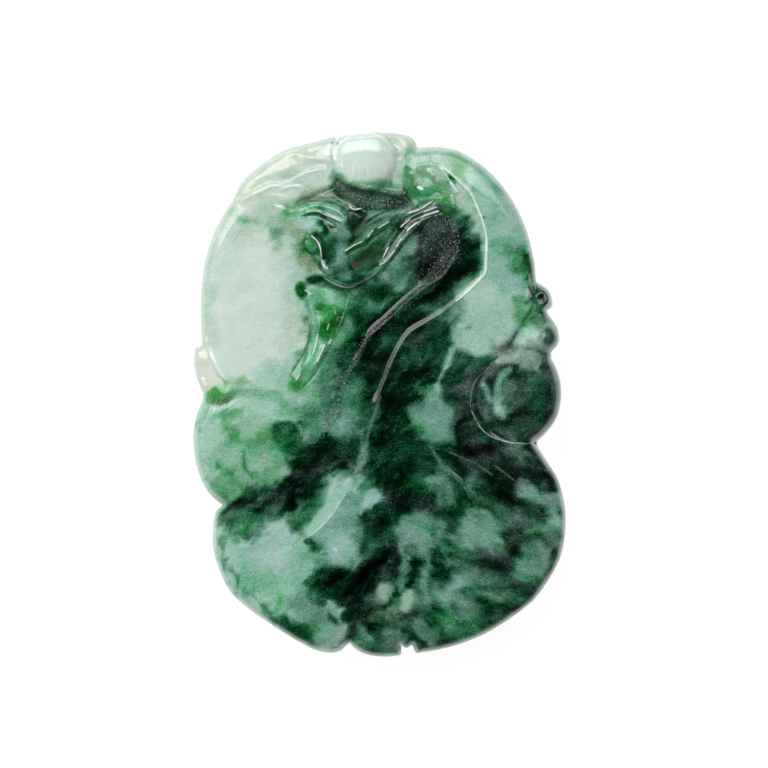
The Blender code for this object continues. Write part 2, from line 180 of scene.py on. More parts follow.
class Carving:
    """The front surface while it is being cut: heights over points of the plane, in mm, with
    two masks, rough (left unpolished) and hollow (lying low, or with a lower polish)."""
    FOOT = 0.9      # width of the hollow at the foot of a step
    MARGIN = 0.5    # how far outside a closed area its soft border may reach

    def __init__(self, x, y, height):
        self.x, self.y, self.height = x, y, height
        self.rough = np.zeros(x.shape)
        self.hollow = np.zeros(x.shape)

    def deepen(self, at, amount):
        """Raises the hollow mask to an amount."""
        self.hollow[at] = np.maximum(self.hollow[at], amount)

    def roughen(self, at, amount):
        """Raises the rough mask to an amount."""
        self.rough[at] = np.maximum(self.rough[at], amount)

    def beside(self, points, reach, ends):
        """The surface near a path through the points: indices, distance from the path, side of
        it (+1 left of travel), how far along, and a fade that is 1 along the path and eases to
        0 over the given parts of its length at start and end."""
        path = flowing(points)
        at = near_box(path, reach, self.x, self.y)
        gap, side, along = nearest(path, self.x[at], self.y[at])
        fade = np.ones(along.shape)
        for part, length in zip((along, 1.0 - along), ends):
            if length:
                fade = fade * ease(0.0, length, part)
        return at, gap, side, along, fade

    def closed_area(self, points):
        """Indices of the points in or near a closed area, and how far inside they lie."""
        area = flowing(points, closed=True)
        at = near_box(area, self.MARGIN, self.x, self.y)
        return at, signed_gap(area, self.x[at], self.y[at])

    def round_spot(self, centre, radii, turn=0.0):
        """Indices near an ellipse turned by degrees, and 1 - (distance / radius) squared."""
        turn = np.radians(turn)
        at = near_box(np.array([centre]), max(radii), self.x, self.y)
        dx, dy = self.x[at] - centre[0], self.y[at] - centre[1]
        along = (dx * np.cos(turn) + dy * np.sin(turn)) / radii[0]
        across = (dy * np.cos(turn) - dx * np.sin(turn)) / radii[1]
        return at, np.clip(1.0 - along ** 2 - across ** 2, 0.0, 1.0)

    def step(self, points, drop, low_reach, lip=0.0, high_reach=1.5, edge=0.25,
             ends=(0.1, 0.1), low_side=1):
        """An overlapping edge: the low side falls by drop across the edge width and comes back
        over low_reach; the high side swells by lip."""
        at, gap, side, _, fade = self.beside(points, max(low_reach, high_reach), ends)
        low = side == low_side
        fall = ease(0.0, edge, gap) * ease(0.0, 1.0, 1.0 - gap / low_reach)
        rise = ease(0.0, 1.0, 1.0 - gap / high_reach)
        swell = np.where(low, ease(0.0, 1.0, 1.0 - gap / edge), rise)
        self.height[at] += fade * (lip * swell - drop * np.where(low, fall, 0.0))
        foot = ease(0.0, 1.0, 1.0 - gap / self.FOOT)
        self.deepen(at, np.where(low, fade * min(drop, 1.0) * foot, 0.0))

    def facet(self, points, drops, widths, low_reach, lip, high_reach, ends):
        """A ground flank: straight down by a drop over its width on the right of travel, then
        back up over low_reach; the left of travel swells by lip.  The drops and widths are
        spread evenly along the path."""
        at, gap, side, along, fade = self.beside(points, max(low_reach, high_reach), ends)
        drop = np.interp(along, np.linspace(0.0, 1.0, len(drops)), drops)
        wide = np.interp(along, np.linspace(0.0, 1.0, len(widths)), widths)
        away = ease(0.0, 1.0, (low_reach - gap) / (low_reach - wide))
        low = away * lip - (drop + lip) * np.clip(gap / wide, 0.0, 1.0) * away
        self.height[at] += fade * np.where(side < 0, low, lip * ease(high_reach, 0.0, gap))

    def ridge(self, points, height, width, crest=1.6, ends=(0.2, 0.2)):
        """A ridge with a crest: 1 - gap / width, raised to the power crest (1 is a sharp edge)."""
        at, gap, _, _, fade = self.beside(points, width, ends)
        self.height[at] += height * fade * np.clip(1.0 - gap / width, 0.0, 1.0) ** crest

    def roll(self, points, height, width, ends=(0.15, 0.15)):
        """A rounded roll: the square root of 1 - (gap / width) squared."""
        at, gap, _, _, fade = self.beside(points, width, ends)
        self.height[at] += height * fade * np.sqrt(np.clip(1.0 - (gap / width) ** 2, 0.0, 1.0))

    def cut(self, points, depth, width, sharp=1.5, ends=(0.15, 0.15), rough=0.0):
        """A furrow: depth times (1 - gap / width) to the power sharp."""
        at, gap, _, _, fade = self.beside(points, width, ends)
        part = fade * np.clip(1.0 - gap / width, 0.0, 1.0) ** sharp
        self.height[at] -= depth * part
        self.deepen(at, min(depth, 1.0) * part)
        self.roughen(at, rough * ease(0.0, 0.3, part))

    def bowl(self, centre, radii, depth, turn=0.0, power=2.0):
        """A round hollow (or, with a negative depth, a swelling) that is level at its rim."""
        at, part = self.round_spot(centre, radii, turn)
        self.height[at] -= depth * part ** power
        self.deepen(at, max(depth, 0.0) * part)

    def cap(self, centre, radii, height):
        """A round cap with a steep foot: an ellipsoid standing on the surface."""
        at, part = self.round_spot(centre, radii)
        self.height[at] += height * np.sqrt(part)

    def sink(self, points, level, soft=(0.0, 0.5), rough=0.0):
        """Cuts a closed area down towards one level; soft gives the width of its wall."""
        at, inside = self.closed_area(points)
        self.height[at] += ease(*soft, inside) * (level - self.height[at])
        self.roughen(at, rough * ease(-0.1, 0.3, inside))

    def dull(self, points, amount):
        """A closed area whose polish is lower."""
        at, inside = self.closed_area(points)
        self.deepen(at, amount * ease(-0.3, 0.5, inside))

    def plane(self, points, base, slope, soft):
        """Trims a closed area to a sloping plane where the plane is lower: a ground facet."""
        at, inside = self.closed_area(points)
        level = base[2] + slope[0] * (self.x[at] - base[0]) + slope[1] * (self.y[at] - base[1])
        height = self.height[at]
        self.height[at] += ease(*soft, inside) * (np.minimum(level, height) - height)


# the arched lobe's long ridge, from the curl down to the lower body
RIDGE = [(7.1, 28.7), (8.8, 27.5), (10.3, 26.1), (11.4, 24.9), (12.2, 23.1), (13.0, 21.0),
         (13.3, 19.3), (13.2, 17.4), (13.1, 15.3), (12.7, 14.6), (11.2, 13.1), (9.5, 11.6),
         (8.0, 10.4), (5.8, 9.0), (3.9, 7.8), (2.7, 6.2), (1.6, 4.0), (0.9, 2.2), (0.1, 0.2),
         (-0.4, -1.2), (-0.9, -3.2), (-1.7, -5.4), (-2.1, -7.4), (-3.1, -10.3), (-4.2, -12.3),
         (-5.4, -14.2), (-7.2, -16.4), (-9.4, -18.2), (-11.6, -19.6)]

# the ground between the ridge and the dome, which lies lower
GROUND = [(7.4, 22.2), (8.8, 21.4), (9.7, 19.8), (9.7, 18.4), (8.8, 16.8), (8.0, 15.2),
          (6.8, 14.4), (5.2, 13.3), (3.1, 11.6), (0.9, 9.5), (-1.1, 7.6), (-2.3, 5.2),
          (-3.6, 3.0), (-4.8, 0.4), (-5.4, -1.6), (-6.9, -4.4), (-9.0, -6.2), (-9.8, -5.4),
          (-10.9, -3.0), (-10.4, 0.6), (-9.4, 4.6), (-8.6, 8.6), (-9.2, 11.4), (-9.6, 13.6),
          (-7.3, 14.7), (-6.4, 14.1), (-5.1, 13.5), (-3.7, 13.3), (-2.8, 13.7), (-1.2, 14.6),
          (0.2, 15.6), (1.8, 17.7), (3.1, 19.2), (4.4, 20.5), (5.7, 21.6)]


def slab(x, y, edge_gap):
    """The stone before carving: a superellipse shoulder that rises from the rim, and over it a
    slight crown, 1 - (x / half width)^2 - (y / half length)^2."""
    inward = 1.0 - np.clip(edge_gap / SHOULDER_REACH, 0.0, 1.0)
    shoulder = (1.0 - inward ** SHOULDER_POWER) ** (1.0 / SHOULDER_POWER)
    crown = 1.0 - (x / CROWN_HALF_WIDTH) ** 2 - (y / CROWN_HALF_LENGTH) ** 2
    return RIM_HEIGHT + SHOULDER * shoulder + CROWN * crown * shoulder


def carve_lobes(c):
    """The arched lobe's long ridge, with a narrow ground facet running down its stem side."""
    drops = (0.17, 0.17, 0.17, 0.19, 0.15, 0.03, 0.07, 0.15, 0.25, 0.22, 0.05, 0.2, 0.28, 0.28, 0.12)
    widths = (0.4, 0.4, 0.4, 0.45, 0.4, 0.3, 0.4, 0.58, 0.6, 0.55, 1.1, 0.7, 1.2, 1.4, 0.9)
    c.facet(RIDGE, drops, widths, 4.5, lip=0.12, high_reach=2.4, ends=(0.06, 0.2))


def carve_ground(c):
    """The ground, which slopes down gently from its groove, and the rough oval at its top."""
    c.plane(GROUND, (4.0, 12.4, 13.75), (0.07, -0.07), soft=(-0.1, 0.5))
    c.sink([(6.2, 22.2), (7.6, 22.1), (9.1, 21.3), (9.6, 19.6), (9.5, 18.0), (8.6, 16.5),
            (7.6, 15.0), (5.6, 13.6), (4.6, 14.2), (5.2, 16.0), (5.2, 18.2), (5.2, 20.2)],
           13.2, soft=(-0.2, 1.6), rough=0.34)
    c.dull([(0.2, 14.6), (1.2, 16.4), (3.0, 18.6), (4.6, 20.2), (5.2, 18.2), (4.8, 15.0),
            (3.0, 13.0), (1.0, 12.6)], 0.8)
    c.dull([(6.2, 22.0), (7.6, 22.0), (9.0, 21.2), (9.5, 19.6), (9.4, 18.0), (8.5, 16.5),
            (7.5, 15.0), (5.6, 13.8), (4.6, 14.4), (5.2, 16.0), (5.2, 18.2), (5.2, 20.2)], 0.95)
    c.cut([(6.6, 22.1), (7.8, 21.9), (8.8, 21.3), (9.5, 19.9), (9.5, 18.2), (8.6, 16.4),
           (7.4, 15.0), (5.8, 14.0)], 0.04, 0.6, ends=(0.1, 0.1), rough=0.75)
    c.cut([(9.3, 20.6), (9.6, 18.6), (8.9, 16.9), (7.9, 15.1), (6.7, 14.3), (5.2, 13.3),
           (3.1, 11.5), (0.9, 9.4), (-1.3, 7.4), (-2.1, 6.1), (-2.7, 4.5), (-3.8, 3.0),
           (-4.7, 0.9), (-5.6, -2.2), (-6.6, -4.4), (-8.4, -6.0)], 0.06, 0.35, sharp=1.0,
          ends=(0.05, 0.05), rough=0.7)
    c.dull([(9.6, 12.0), (6.0, 9.6), (3.4, 7.6), (1.6, 4.6), (0.2, 0.4), (-0.6, -1.6), (0.0, 1.8),
            (1.0, 4.4), (2.6, 7.2), (5.4, 9.0), (9.4, 11.4)], 0.55)
    c.dull([(8.9, 16.4), (6.4, 14.0), (3.0, 11.0), (-1.8, 7.0), (-3.0, 4.0), (-2.4, 3.8),
            (-0.9, 7.2), (3.2, 12.0), (5.4, 14.0), (8.0, 16.2)], 0.85)
    c.cut([(-4.2, 2.4), (-4.9, 0.6), (-5.5, -1.6), (-6.0, -3.2)], 0.05, 0.6, rough=0.7)
    c.cut([(-10.2, -4.8), (-9.3, -5.8), (-8.2, -5.9), (-7.2, -5.0)], 0.05, 0.5, rough=0.7)


def carve_pearl(c):
    """The pearl, the leaf behind it and the rough recess under it."""
    recess = [(-5.6, 27.4), (-3.1, 26.0), (-0.1, 25.5), (2.6, 24.8), (3.6, 24.0), (3.2, 23.0),
              (-0.8, 22.7), (-3.1, 23.7), (-5.3, 24.8)]
    c.sink([(-5.9, 31.4), (-5.0, 33.4), (-1.8, 34.2), (1.6, 33.4), (2.9, 31.0), (2.9, 28.0),
            (3.0, 25.0), (-0.2, 25.4), (-3.2, 25.9), (-5.6, 27.3)], 12.3, soft=(0.0, 0.4))
    c.sink(recess, 11.6, soft=(-0.2, 0.9), rough=1.0)
    c.cap((-1.9, 29.1), (3.9, 4.0), 1.7)
    c.ridge([(1.9, 31.0), (2.3, 29.0), (2.4, 26.8)], 0.5, 1.0, crest=1.6)
    c.cut([(-5.6, 31.6), (-5.9, 30.2), (-5.9, 28.6), (-5.4, 27.2)], 0.08, 0.4)
    for x0, y0, x1, y1 in ((-3.2, 28.9, -3.4, 27.1), (-2.5, 28.6, -2.6, 27.0),
                           (-1.6, 28.9, -1.5, 27.4), (-0.6, 28.6, -0.4, 27.2),
                           (0.4, 28.9, 0.7, 27.3)):
        c.cut([(x0, y0), (0.5 * (x0 + x1), 0.5 * (y0 + y1)), (x1, y1)], 0.06, 0.3)


def carve_curl(c):
    """The curled end of the arched lobe and its bead."""
    c.bowl((5.6, 25.7), (2.9, 2.5), 0.25, power=1.3)
    c.bowl((5.5, 25.6), (1.7, 1.5), -0.4, power=1.5)
    c.ridge([(3.7, 26.4), (3.9, 27.2), (4.4, 27.5), (4.5, 28.3), (5.3, 28.5), (6.6, 28.6),
             (7.4, 28.2), (7.9, 27.2), (8.4, 25.6)], 0.2, 0.4, crest=1.2)
    c.ridge([(6.0, 28.1), (6.7, 27.1), (7.7, 25.7)], 0.2, 0.4, crest=1.2)
    c.ridge([(4.7, 24.0), (6.1, 24.2), (7.5, 24.8)], 0.2, 0.5, crest=1.2)
    c.ridge([(8.8, 26.6), (9.3, 25.7), (9.8, 24.9)], 0.25, 0.5, crest=1.2)
    c.ridge([(9.0, 26.4), (9.2, 24.6), (9.2, 22.6)], 0.12, 0.35, crest=1.2)


def carve_leaf_band(c):
    """The pale leaf band at the upper left, with its swirl."""
    main = [(-18.4, 23.8), (-16.5, 24.7), (-15.2, 25.3), (-13.8, 26.0), (-12.6, 26.1),
            (-11.2, 26.5), (-10.1, 27.1), (-8.8, 27.7), (-7.8, 28.0), (-6.4, 28.2)]
    c.step(main, 0.22, 1.6, lip=0.12, high_reach=0.9, edge=0.3, low_side=1, ends=(0.03, 0.1))
    c.ridge([(-12.6, 25.4), (-11.4, 25.8), (-10.5, 25.9), (-9.4, 25.6)], 0.1, 0.45, crest=1.2)
    c.step([(-10.6, 24.0), (-9.6, 24.3), (-8.2, 25.0), (-6.9, 25.6), (-5.4, 26.3)], 0.5, 1.5,
           lip=0.1, edge=0.25, low_side=-1)
    c.ridge([(-11.9, 29.3), (-11.2, 29.9), (-10.1, 30.0), (-8.8, 29.5), (-7.4, 29.2),
             (-6.2, 29.2)], 0.18, 0.6, crest=1.4)
    c.ridge([(-10.2, 29.8), (-9.6, 29.0), (-9.6, 28.2), (-10.4, 27.9)], 0.12, 0.5, crest=1.4)
    c.cut([(-14.2, 28.0), (-12.8, 27.4), (-11.4, 27.7), (-10.0, 28.3), (-7.8, 28.8),
           (-6.4, 28.9)], 0.07, 0.5)
    c.cut([(-16.6, 26.4), (-15.0, 26.4), (-13.2, 26.9)], 0.06, 0.45)
    c.cut([(-9.8, 30.9), (-9.2, 30.2), (-7.6, 30.5), (-6.0, 31.0)], 0.07, 0.4)
    for x, y, radius in ((-14.9, 28.1, 0.9), (-13.4, 29.2, 0.8), (-12.0, 28.4, 0.7),
                         (-10.6, 28.8, 1.0), (-8.4, 30.2, 0.9), (-16.6, 26.0, 0.7)):
        c.bowl((x, y), (1.3 * radius, 0.8 * radius), 0.07, turn=35)
    c.ridge([(-14.0, 24.6), (-13.3, 24.7), (-11.7, 24.4), (-10.8, 24.0)], 0.1, 0.4)
    c.ridge([(-14.1, 24.3), (-14.1, 23.4), (-13.6, 22.7), (-12.4, 22.0)], 0.1, 0.4)
    c.cut([(-13.2, 24.1), (-12.4, 23.6), (-11.2, 23.2), (-10.2, 23.2)], 0.15, 0.5)


def carve_head(c):
    """The head of overlapping petals above the sunk ground."""
    c.dull([(-8.4, 15.4), (-6.2, 13.4), (-3.6, 12.7), (-1.0, 13.9), (0.6, 15.8), (0.0, 16.3),
            (-2.0, 14.9), (-4.6, 14.2), (-7.0, 15.6)], 0.9)
    c.dull([(-9.2, 21.8), (-7.4, 21.4), (-5.6, 20.4), (-3.8, 22.6), (-1.8, 22.4), (1.0, 23.2),
            (3.0, 21.6), (1.0, 17.6), (-1.0, 15.6), (-3.0, 14.4), (-6.0, 15.0), (-8.0, 16.6),
            (-9.4, 18.6)], 0.93)
    c.cut([(-10.4, 23.6), (-8.6, 24.2), (-6.6, 24.0), (-4.6, 23.2), (-3.4, 22.0)], 0.3, 0.6)
    c.roll([(-10.4, 22.9), (-8.6, 23.4), (-6.9, 23.2), (-5.3, 22.4), (-4.4, 21.0), (-4.1, 19.4),
            (-4.3, 17.6)], 0.35, 0.9, ends=(0.2, 0.35))
    c.step([(-9.6, 22.3), (-8.4, 22.7), (-7.3, 22.6), (-6.1, 22.1), (-4.9, 21.5), (-4.4, 20.6)],
           0.25, 3.4, lip=0.12, high_reach=0.5, edge=0.25, low_side=-1)
    c.bowl((-6.2, 19.6), (2.3, 2.9), 0.1, turn=-25, power=1.5)
    c.ridge([(-6.9, 21.6), (-6.6, 20.8), (-6.3, 20.2), (-6.1, 19.2)], 0.12, 0.3, crest=1.0)
    c.bowl((-8.6, 18.7), (1.1, 1.3), -0.2, power=1.0)
    c.step([(-8.7, 20.2), (-8.0, 19.3), (-7.4, 18.5), (-7.3, 17.4), (-7.1, 16.4), (-6.5, 15.4)],
           0.4, 1.6, lip=0.15, high_reach=0.5, edge=0.3, low_side=1, ends=(0.05, 0.1))
    c.bowl((-4.6, 17.4), (2.4, 3.4), 0.12, turn=10, power=1.5)
    c.step([(-4.6, 17.6), (-3.2, 18.5), (-2.2, 19.0), (-1.6, 19.4), (-0.9, 20.4), (0.2, 20.9),
            (1.4, 21.7), (2.4, 22.2)], 0.28, 4.0, lip=0.12, high_reach=0.7, edge=0.3,
           low_side=-1, ends=(0.05, 0.15))
    c.bowl((-1.7, 17.4), (2.6, 1.7), 0.06, turn=35, power=1.5)
    c.cut([(-3.8, 20.0), (-2.6, 21.0), (-1.2, 22.4), (0.8, 23.6)], 0.4, 0.5)
    c.ridge([(-2.3, 21.0), (-1.4, 21.9), (-0.5, 22.6), (1.1, 23.5)], 0.12, 0.45, crest=1.2)
    c.ridge([(-3.9, 23.5), (-3.4, 23.2), (-3.0, 23.0), (-2.2, 23.3)], 0.12, 0.4, crest=1.1)
    c.cut([(-7.6, 15.2), (-6.8, 14.5), (-5.8, 13.9), (-4.6, 13.4), (-3.6, 13.2), (-2.6, 13.6),
           (-1.4, 14.4), (-0.2, 15.3)], 0.16, 0.35, ends=(0.1, 0.1))


def carve_bundle(c):
    """The edge of the bundle of fine parallel ridges that runs from the head to the curl."""
    c.step([(-0.3, 15.9), (0.8, 16.6), (1.9, 17.9), (3.1, 19.3), (4.4, 20.6), (5.7, 21.7),
            (7.0, 22.4)], 0.2, 4.0, lip=0.1, high_reach=0.5, edge=0.25, low_side=-1)


def carve_tassel(c):
    """The tassel: a fan of scales that narrows to a long strand."""
    outline = [(-10.5, 13.6), (-9.7, 11.8), (-8.9, 10.0), (-8.5, 8.5), (-8.4, 7.0),
               (-9.1, 5.2), (-10.2, 3.5), (-11.1, 2.2), (-11.2, 1.3), (-10.5, 0.6),
               (-9.2, 1.1), (-7.9, 2.6), (-6.6, 4.6), (-5.8, 6.1), (-5.2, 7.4), (-4.6, 8.9),
               (-4.2, 10.6), (-4.0, 12.0), (-3.3, 13.2), (-5.4, 13.6), (-7.4, 14.6), (-9.4, 14.2)]
    at, inside = c.closed_area(outline)
    c.height[at] += 0.3 * ease(-0.1, 1.4, inside)
    c.dull([(-10.4, 13.8), (-8.0, 14.8), (-5.4, 13.8), (-3.2, 13.3), (-4.2, 10.4), (-5.2, 7.4),
            (-7.0, 7.2), (-8.6, 10.4)], 0.85)
    c.deepen(at, 0.6 * ease(-0.5, 0.0, inside) * ease(0.1, 0.0, inside))
    for points in (
            [(-7.9, 9.9), (-7.4, 8.9), (-7.7, 7.7), (-8.0, 6.2), (-8.4, 4.8), (-9.4, 3.2),
             (-10.5, 1.8)],
            [(-6.8, 6.4), (-7.3, 5.0), (-7.9, 3.8), (-8.8, 2.4)],
            [(-5.0, 9.8), (-5.4, 8.2), (-6.0, 6.8)],
            [(-9.2, 12.6), (-8.6, 11.2), (-8.2, 9.4), (-8.1, 8.0)]):
        c.ridge(points, 0.25, 0.4, crest=1.1)
    for j in range(5):
        x, y = -9.1 + 0.55 * j, 12.9 - 0.45 * j
        c.ridge([(x - 0.25, y - 0.1), (x, y), (x + 0.2, y + 0.25)], 0.12, 0.3, crest=1.1)


def carve_left(c):
    """The ball, the small leaf at the edge and the leaf tip between them and the dome."""
    c.step([(-22.2, 6.6), (-21.6, 6.2), (-21.1, 4.9), (-20.3, 3.1), (-19.3, 1.9), (-18.2, 1.6)],
           0.45, 2.0, high_reach=1.0, edge=0.2, low_side=-1, ends=(0.0, 0.15))
    c.ridge([(-22.1, 2.2), (-21.8, 1.4), (-21.4, 0.8)], 0.2, 0.45)
    c.step([(-22.2, -0.8), (-20.7, -0.9), (-19.3, -0.7), (-18.3, 0.1), (-16.6, 0.7),
            (-14.3, 0.2), (-12.1, -1.1), (-10.8, -2.6)], 0.12, 1.2, edge=0.4,
           low_side=-1, ends=(0.0, 0.1))
    c.bowl((-16.7, -7.2), (6.9, 6.8), -0.4, power=1.0)
    c.dull([(-20.6, -13.2), (-16.5, -12.9), (-16.6, -15.6), (-20.8, -16.4)], 0.95)
    c.cut([(-19.5, -13.7), (-17.3, -13.1), (-14.4, -12.2), (-11.6, -10.9), (-9.9, -8.6),
           (-9.3, -6.4), (-10.4, -3.9), (-11.6, -1.7)], 0.2, 1.3, sharp=1.6, ends=(0.1, 0.2))
    c.cut([(-21.9, -1.9), (-21.2, -1.3), (-19.4, -1.1)], 0.2, 0.3)


def carve_right(c):
    """The disc in its ring, the two scrolls and the leaf between them and the lobe."""
    ring = [(15.0, 5.0), (13.9, 3.8), (12.9, 2.6), (12.3, 1.4), (12.0, 0.0), (12.0, -1.4),
            (12.6, -2.9), (13.6, -4.3), (14.9, -5.2), (16.4, -5.8), (17.9, -6.0), (19.2, -5.7)]
    c.cut(ring, 0.15, 0.5, sharp=1.0, ends=(0.05, 0.1))
    c.dull([(16.0, 5.6), (13.2, 4.6), (11.6, 2.4), (11.2, -0.6), (12.4, -0.8), (13.6, 1.4),
            (15.4, 3.4)], 0.93)
    c.dull([(13.8, 4.0), (15.4, 5.8), (18.0, 6.2), (20.8, 5.4), (20.0, 3.4), (17.0, 3.4),
            (15.2, 3.0)], 0.85)
    c.bowl((17.8, -0.4), (5.6, 5.9), -0.45, power=1.0)
    c.cut([(15.2, 5.0), (16.8, 5.6), (18.8, 5.7), (20.6, 5.1), (21.6, 4.6)], 0.2, 0.4)
    edge = [(18.8, 13.6), (19.0, 12.4), (18.7, 10.9), (17.9, 9.5), (16.5, 7.3), (15.9, 6.2),
            (14.6, 5.4)]
    c.step(edge, 0.9, 2.0, lip=0.1, edge=0.3, low_side=1, ends=(0.0, 0.15))
    c.ridge([(18.0, 9.7), (18.8, 10.4), (19.5, 11.0)], 0.25, 0.35)
    c.ridge([(18.1, 8.0), (18.5, 8.9), (19.0, 9.6)], 0.2, 0.5)
    c.dull([(17.2, 9.6), (19.2, 11.2), (20.3, 9.2), (20.0, 7.2), (18.4, 6.6), (16.6, 6.8)], 0.85)
    c.dull([(19.4, 9.6), (21.0, 10.0), (22.6, 8.6), (22.4, 6.0), (20.4, 5.2), (19.4, 6.6)], 0.8)
    c.cap((20.4, 11.9), (1.5, 1.7), 0.9)
    c.ridge([(20.6, 12.2), (20.9, 11.7), (20.7, 11.2), (20.1, 10.8)], 0.35, 0.35)
    c.bowl((20.2, 11.9), (0.7, 0.8), 0.5, power=1.0)
    c.cap((21.0, 7.0), (1.7, 1.9), 0.9)
    c.cut([(19.7, 6.3), (20.1, 7.3), (20.7, 7.8), (21.6, 7.7)], 0.5, 0.4)
    c.ridge([(20.5, 8.3), (20.8, 8.8), (21.5, 9.2)], 0.3, 0.35)
    c.bowl((21.2, 6.8), (0.7, 0.8), 0.4, power=1.0)
    c.ridge([(19.0, 6.9), (19.7, 7.1)], 0.3, 0.5)


def carve_body(c):
    """The broad lower body: shallow facets, flutes and the grooves above the notches."""
    c.cut([(-3.9, -31.2), (-3.6, -30.0), (-3.2, -28.9), (-3.2, -27.6)], 0.4, 1.1, ends=(0.0, 0.6))
    c.cut([(3.4, -31.6), (3.8, -30.2), (4.1, -28.8)], 0.25, 0.7, ends=(0.0, 0.6))
    c.dull([(-5.0, -27.4), (-2.4, -27.4), (-2.6, -30.6), (-4.6, -30.6)], 0.8)
    c.dull([(3.0, -28.4), (5.2, -28.4), (5.0, -31.4), (3.0, -31.4)], 0.8)
    c.step([(6.4, -6.6), (7.6, -8.1), (8.7, -9.5), (10.3, -10.9), (11.2, -12.6), (11.9, -14.4),
            (12.4, -15.4)], 0.08, 2.4, lip=0.02, edge=0.4, low_side=1)
    c.step([(10.2, -7.8), (12.1, -8.5), (13.4, -9.8), (14.9, -11.1), (15.6, -12.6),
            (15.9, -13.8)], 0.04, 2.0, edge=0.6, low_side=1)
    c.ridge([(14.3, -8.8), (16.8, -10.7)], 0.06, 0.6)
    c.step([(16.4, -11.2), (17.0, -14.0), (16.9, -17.5), (16.2, -20.4)], 0.12, 3.0, edge=0.5,
           low_side=1)
    c.ridge([(8.7, 3.8), (7.7, 2.3), (7.1, 1.3)], 0.22, 0.4)
    for points, depth in (
            ([(4.2, -20.1), (4.2, -22.0), (3.9, -24.4)], 0.16),
            ([(1.6, -19.0), (1.7, -21.6), (1.9, -24.0)], 0.12),
            ([(6.6, -19.2), (6.4, -21.6), (5.8, -23.6)], 0.12)):
        c.cut(points, depth, 1.0, ends=(0.3, 0.3))


def front(x, y, edge_gap):
    """The front with all its carving, which fades out at the very edge."""
    c = Carving(x, y, slab(x, y, edge_gap))
    base = c.height.copy()
    for carve in (carve_lobes, carve_ground, carve_pearl, carve_curl, carve_leaf_band, carve_head,
                  carve_bundle, carve_tassel, carve_left, carve_right, carve_body):
        carve(c)
    for _, width, strength, *points in CREASES_AND_SHADE:
        c.cut(points, CREASE_DEPTH * strength, 2.0 * width, sharp=1.2)
    for _, width, strength, *points in CRESTS_AND_HIGHLIGHTS:
        c.ridge(points, CREST_HEIGHT * strength, 2.0 * width, crest=1.2)
    c.height = base + (c.height - base) * ease(0.0, CARVING_FADE, edge_gap)
    return c


def back_height(edge_gap):
    """The plain back: a rounded edge that runs out to the flat that the stone rests on."""
    low = RIM_HEIGHT - BACK_ROUND * quarter(edge_gap / BACK_ROUND)
    part = np.clip((edge_gap - BACK_MARGIN) / (BACK_REACH - BACK_MARGIN), 0.0, 1.0)
    return low * (1.0 - part) ** 2


# ---- the colours of the stone -------------------------------------------------------------------
# named colours as everyday 0 to 255 values
PALETTE = {
    "snow": (244, 255, 248), "ivory": (220, 228, 213), "frost": (212, 231, 219),
    "dew": (188, 213, 196), "straw": (196, 216, 182), "mist": (165, 205, 186),
    "sea": (136, 190, 166), "rain": (158, 198, 188), "dull sea": (104, 150, 130),
    "moss": (98, 162, 118), "apple": (92, 178, 124), "leaf": (62, 146, 74),
    "emerald": (16, 104, 36), "forest": (26, 86, 52), "deep": (4, 40, 21),
    "ink": (8, 20, 17), "slate": (38, 60, 52), "ash": (88, 120, 104),
    "olive": (104, 118, 82), "bronze": (88, 76, 60), "lilac": (70, 70, 70),
    "pearl grey": (218, 236, 225), "grotto": (52, 90, 70), "coal": (7, 20, 15),
    "teal": (108, 158, 140), "sage": (126, 154, 136),
    # "rim" is the colour of the painted reflection and glow along the thin edge
    "rim": (186, 208, 194), "bottle": (6, 62, 28), "dusk": (84, 130, 112),
}

